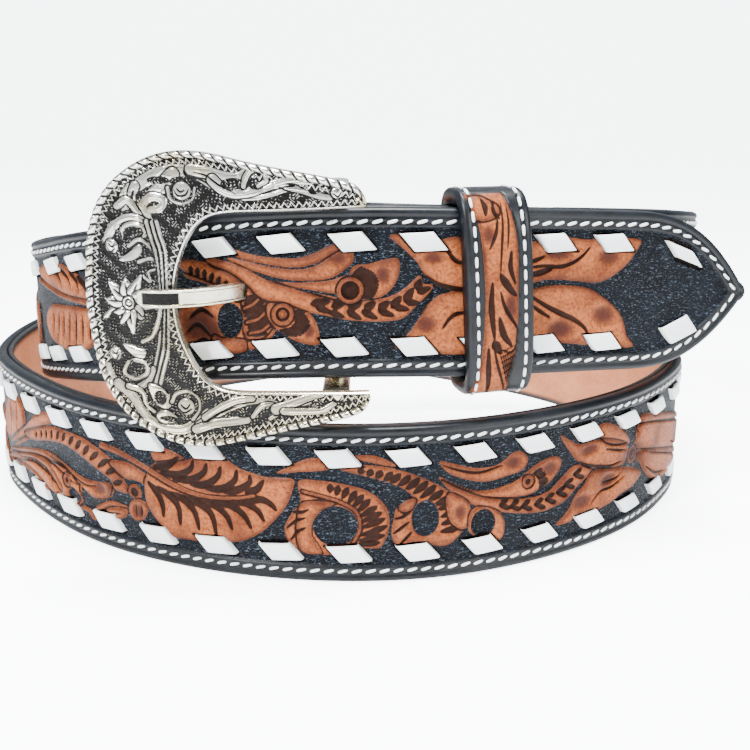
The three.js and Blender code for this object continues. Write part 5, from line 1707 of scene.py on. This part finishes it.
def prong_eye(material):
    turn = np.linspace(0, 2 * math.pi, 64, endpoint=False)
    middle = BAR_R + GAP + EYE_WALL / 2
    rings = []
    for a in turn:
        arm = np.array([math.cos(a), math.sin(a), 0])
        corner = [(-1, -0.8), (-0.8, -1), (0.8, -1), (1, -0.8), (1, 0.8), (0.8, 1), (-0.8, 1), (-1, 0.8)]
        rings.append([arm * (middle + EYE_WALL / 2 * r) + (0, 0, PRONG_W / 2 * u) for r, u in corner])
    rings = np.array(rings) + (BAR[0], BAR[1], FRAME_RISE) + FOOT
    return plain_cast("prong_eye", *loft(np.concatenate([rings, rings[:1]]), caps=False), material)


def keeper_outline(grow, radius, count):
    """Rounded rectangle round the strap, from the back's middle over the top, as depth and height."""
    front = LACE_PROUD + KEEPER_PLAY - KEEPER_SET + grow
    back = -LEG - KEEPER_PLAY - KEEPER_SET - grow
    low = -1.5 * KEEPER_PLAY - grow
    high = STRAP_H + 1.5 * KEEPER_PLAY + grow
    corners = [(back, high, 180), (front, high, 90), (front, low, 0), (back, low, -90)]
    path = [(back, STRAP_H / 2)]
    for w, v, start in corners:
        cw = w - radius if w > 0 else w + radius
        cv = v - radius if v > 0 else v + radius
        for a in np.radians(np.linspace(start, start - 90, 24)):
            path.append((cw + radius * math.cos(a), cv + radius * math.sin(a)))
    path.append((back, STRAP_H / 2))
    path = np.array(path)
    walked = walk(path)
    even = np.linspace(0, walked[-1], count)
    return np.stack([np.interp(even, walked, path[:, i]) for i in (0, 1)], 1)[:-1]


def keeper_skin(count):
    """Rounded oval outside the keeper, read in the same headings as its inner wall."""
    inner = keeper_outline(0, KEEPER_CORNER, count)
    box = keeper_outline(KEEPER_T + KEEPER_SWELL, KEEPER_CORNER, count)
    middle = (box.max(0) + box.min(0)) / 2
    half = (box.max(0) - box.min(0)) / 2
    share = (inner - middle) / ((inner.max(0) - inner.min(0)) / 2)
    reach = (np.abs(share) ** KEEPER_OVAL).sum(1) ** (1 / KEEPER_OVAL)
    return middle + half * share / reach[:, None]


def keeper_frame():
    """Foot of the keeper's middle on the strap, the way out of the strap, and the way along it."""
    s = route.where_across(KEEPER_ACROSS, BILLET_START, route.length)
    point, out = route.frame_at(s)
    along = np.array([-out[0][1], out[0][0], 0])
    return point[0] + FOOT, out[0], along


def keeper_face(x, v):
    """Points on the keeper's front: x along the strap, v up it."""
    point, out, along = keeper_frame()
    box = keeper_outline(KEEPER_T + KEEPER_SWELL, KEEPER_CORNER, KEEPER_STEPS)
    middle = (box.max(0) + box.min(0)) / 2
    half = (box.max(0) - box.min(0)) / 2
    share = np.minimum(np.abs(v - middle[1]) / half[1], 0.999)
    w = middle[0] + half[0] * (1 - share**KEEPER_OVAL) ** (1 / KEEPER_OVAL)
    x = x + KEEPER_LEAN * (v - STRAP_H / 2)
    made = point + out * w[..., None] + along * x[..., None]
    made[..., 2] += v
    return made


keeper_marks = Marks(KEEPER_PIXEL)
mark_keeper(keeper_marks)
keeper_top = STRAP_H + KEEPER_OVER
keeper_rows = keeper_marks.placed(keeper_face, (-KEEPER_SIDE, -KEEPER_OVER), (KEEPER_SIDE, keeper_top))
keeper_carving = Carving(
    -KEEPER_SIDE, KEEPER_SIDE, -KEEPER_OVER, keeper_top, KEEPER_CELL, KEEPER_BLUR, KEEPER_RELIEF
).draw(keeper_rows)


def keeper_piece(material):
    """Band round the strap with rounded edges, carved on its front."""
    point, out, along = keeper_frame()
    outside = keeper_skin(KEEPER_STEPS)
    inside = keeper_outline(0, KEEPER_CORNER, KEEPER_STEPS)
    x = np.concatenate([steps_between(-1, -0.86, 0.02), steps_between(-0.86, 0.86, 0.026)[1:-1],
                        steps_between(0.86, 1, 0.02)])
    e = KEEPER_W / 2 * (1 - np.abs(x))
    inward = np.maximum(0, KEEPER_EDGE_R - e)
    rounded = KEEPER_EDGE_R - np.sqrt(np.maximum(0, KEEPER_EDGE_R**2 - inward**2))
    seam = 0.2 * np.exp(-(((e - KEEPER_SEAM_IN) / 0.35) ** 2))
    rings, tan, cut, shade, field = [], [], [], [], []
    for o, i in zip(outside, inside):
        across, v = x * KEEPER_W / 2, np.full(x.shape, o[1])
        on_front = float(o[0] > 0)
        values = [keeper_carving.read(layer, across, v) * on_front
                  for layer in (keeper_carving.tan, keeper_carving.cut, keeper_carving.shade)]
        rise = keeper_carving.read(keeper_carving.rise, across, v) * on_front * (values[0] > 0.1)
        away = (o - i) / max(np.linalg.norm(o - i), 1e-6)
        skin = o[None, :] + away[None, :] * (np.minimum(rise, 0) - rounded - seam)[:, None]
        back = np.stack([np.full(2, i[0]), np.full(2, i[1])], 1)
        wv = np.concatenate([skin, back])
        xs = np.concatenate([across, [KEEPER_W / 2, -KEEPER_W / 2]])
        xs = xs + KEEPER_LEAN * (wv[:, 1] - STRAP_H / 2)
        rings.append(point + out * wv[:, :1] + along * xs[:, None] + np.array([0, 0, 1]) * wv[:, 1:])
        for store, value in zip((tan, cut, shade), values):
            store.append(np.concatenate([value, [0, 0]]))
        field.append(np.zeros(len(xs)))
    rings = np.array(rings)
    n, m = rings.shape[:2]
    index = np.arange(n * m).reshape(n, m)
    a, b = index, np.roll(index, -1, 0)
    quads = np.stack([a, b, np.roll(b, -1, 1), np.roll(a, -1, 1)], -1).reshape(-1, 4).tolist()
    thing = new_mesh("keeper_band", rings.reshape(-1, 3), quads)
    put_uv(thing, np.broadcast_to(np.concatenate([x, [1, -1]]) * KEEPER_W / 2, (n, m)),
           np.broadcast_to(np.arange(n)[:, None] * 0.3, (n, m)))
    for key, values in (("tan", tan), ("cut", cut), ("shade", shade), ("field", field)):
        put_value(thing, key, np.array(values))
    return finish_piece(thing, material, ["keeper"])


def keeper_stitches(side, tree):
    """One row of stitches round the keeper, along one of its edges."""
    point, out, along = keeper_frame()
    way = keeper_skin(2000)
    walked = walk(way)
    at = np.searchsorted(walked, np.arange(0, walked[-1], STITCH_PITCH))
    pick, ahead = way[at], (np.roll(way, -1, 0) - np.roll(way, 1, 0))[at]
    across = side * (KEEPER_W / 2 - KEEPER_SEAM_IN)
    up = np.array([0, 0, 1])
    lean = KEEPER_LEAN * (pick[:, 1:] - STRAP_H / 2)
    middle = point + out * pick[:, :1] + along * (across + lean) + up * pick[:, 1:]
    heads = out * ahead[:, :1] + up * ahead[:, 1:] + along * KEEPER_LEAN * ahead[:, 1:]
    heads /= np.linalg.norm(heads, axis=1)[:, None]
    outs = np.cross(heads, along)
    outs *= np.sign(np.sum(outs * (middle - middle.mean(0)), axis=1))[:, None]
    name = "keeper_stitches_right" if side > 0 else "keeper_stitches_left"
    return stitch_piece(name, middle, heads, outs, tree)


# Studio: lens and sensor, paper sweep and dark card in millimetres, and the sky's light
LENS = 48
SENSOR = 36
PAPER_NEAR = 3000
PAPER_FLAT = 1500
PAPER_BEND = 900
PAPER_TOP = 4000
PAPER_SIDE = 5000
CARD_SIDE = 450
CARD_AWAY = 800
CARD_LOW = 60
CARD_HIGH = 700
SKY_TINT = (0.82, 0.92, 1)
SKY_STRENGTH = 0.43


def light(name, place_m, size, power, aim):
    """Square lamp turned to a spot; places, size and aim in metres, power in watts."""
    lamp = bpy.data.lights.new(name, "AREA")
    lamp.size, lamp.energy = size, power
    thing = bpy.data.objects.new(name, lamp)
    bpy.context.scene.collection.objects.link(thing)
    thing.location = place_m
    heading = np.array(aim) - np.array(place_m)
    thing.rotation_euler = mathutils.Vector(heading).to_track_quat("-Z", "Y").to_euler()


def studio():
    camera = bpy.data.cameras.new("camera")
    camera.lens, camera.sensor_width = LENS, SENSOR
    camera.clip_start, camera.clip_end = 0.01, 10
    eye = bpy.data.objects.new("camera", camera)
    bpy.context.scene.collection.objects.link(eye)
    eye.location = EYE * MM
    eye.rotation_euler = (math.radians(90) - EYE_DOWN, 0, 0)
    bpy.context.scene.camera = eye
    bend = np.radians(np.linspace(0, 90, 25))
    curve = zip(PAPER_FLAT + PAPER_BEND * np.sin(bend), PAPER_BEND - PAPER_BEND * np.cos(bend))
    way = [(-PAPER_NEAR, 0), *curve, (PAPER_FLAT + PAPER_BEND, PAPER_TOP)]
    sides = [[(x, y, z) for y, z in way] for x in (-PAPER_SIDE, PAPER_SIDE)]
    floor = new_mesh("floor", *loft(np.array(sides), False, False))
    floor.data.materials.append(floor_material())
    ends = [(-CARD_SIDE, CARD_LOW), (CARD_SIDE, CARD_LOW), (CARD_SIDE, CARD_HIGH), (-CARD_SIDE, CARD_HIGH)]
    corners = [(x, -CARD_AWAY, z) for x, z in ends]
    card = new_mesh("dark_card", corners, [(0, 1, 2, 3)])
    card.data.materials.append(card_material())
    world = bpy.data.worlds.new("studio")
    world.use_nodes = True
    sky = world.node_tree.nodes["Background"]
    sky.inputs["Color"].default_value = (*SKY_TINT, 1)
    sky.inputs["Strength"].default_value = SKY_STRENGTH
    bpy.context.scene.world = world
    light("overhead", (0.05, -0.05, 0.7), 0.25, 22, (0, 0, 0.04))
    light("left_front", (-0.45, -0.6, 0.6), 0.1, 18, (0, 0, 0.06))
    light("right_front", (0.6, -0.6, 0.35), 0.2, 5, (0, 0, 0.05))


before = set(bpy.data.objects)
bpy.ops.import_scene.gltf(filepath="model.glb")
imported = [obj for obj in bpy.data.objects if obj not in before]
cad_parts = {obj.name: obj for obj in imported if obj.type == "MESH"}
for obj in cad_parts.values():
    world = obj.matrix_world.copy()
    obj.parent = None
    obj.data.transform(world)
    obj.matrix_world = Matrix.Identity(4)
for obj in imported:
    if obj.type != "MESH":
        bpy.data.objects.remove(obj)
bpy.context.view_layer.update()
studio()
surface = grain_group()
leather = tooled_material(surface)
natural = lining_material(surface)
white = lace_material(surface)
thread = thread_material(surface)
silver = silver_material("antique_silver", surface, SILVER_BRIGHT, SILVER_GILT, 0.17)
prong_silver = silver_material("pale_gilt_silver", surface, PRONG_BRIGHT, PRONG_GILT, 0.2)
strap_piece("strap_fold_and_outer_turn", 0, FRONT_FROM, 0.62, 0.6, leather, ["strap"])
strap_piece("strap_front_turn", FRONT_FROM, FRONT_TO, 0.37, 0.32, leather, [])
strap_piece("strap_inner_turn", FRONT_TO, POINT_FROM, 0.62, 0.6, leather, [])
strap_piece("strap_point", POINT_FROM, route.length, 0.31, 0.3, leather, [])
lining_piece(natural)
lace_piece(True, white)
lace_piece(False, white)
buckle_piece(silver)
tube_between("buckle_bar", -LUG_INNER - LUG_H / 2, LUG_INNER + LUG_H / 2, BAR_R, silver)
lug_piece("buckle_lug_upper", 1, silver)
lug_piece("buckle_lug_lower", -1, silver)
prong_piece(prong_silver)
prong_eye(silver)
keeper_piece(leather)
stitching = stitch_tree(thread)
border_stitches(True, stitching)
border_stitches(False, stitching)
keeper_stitches(1, stitching)
keeper_stitches(-1, stitching)
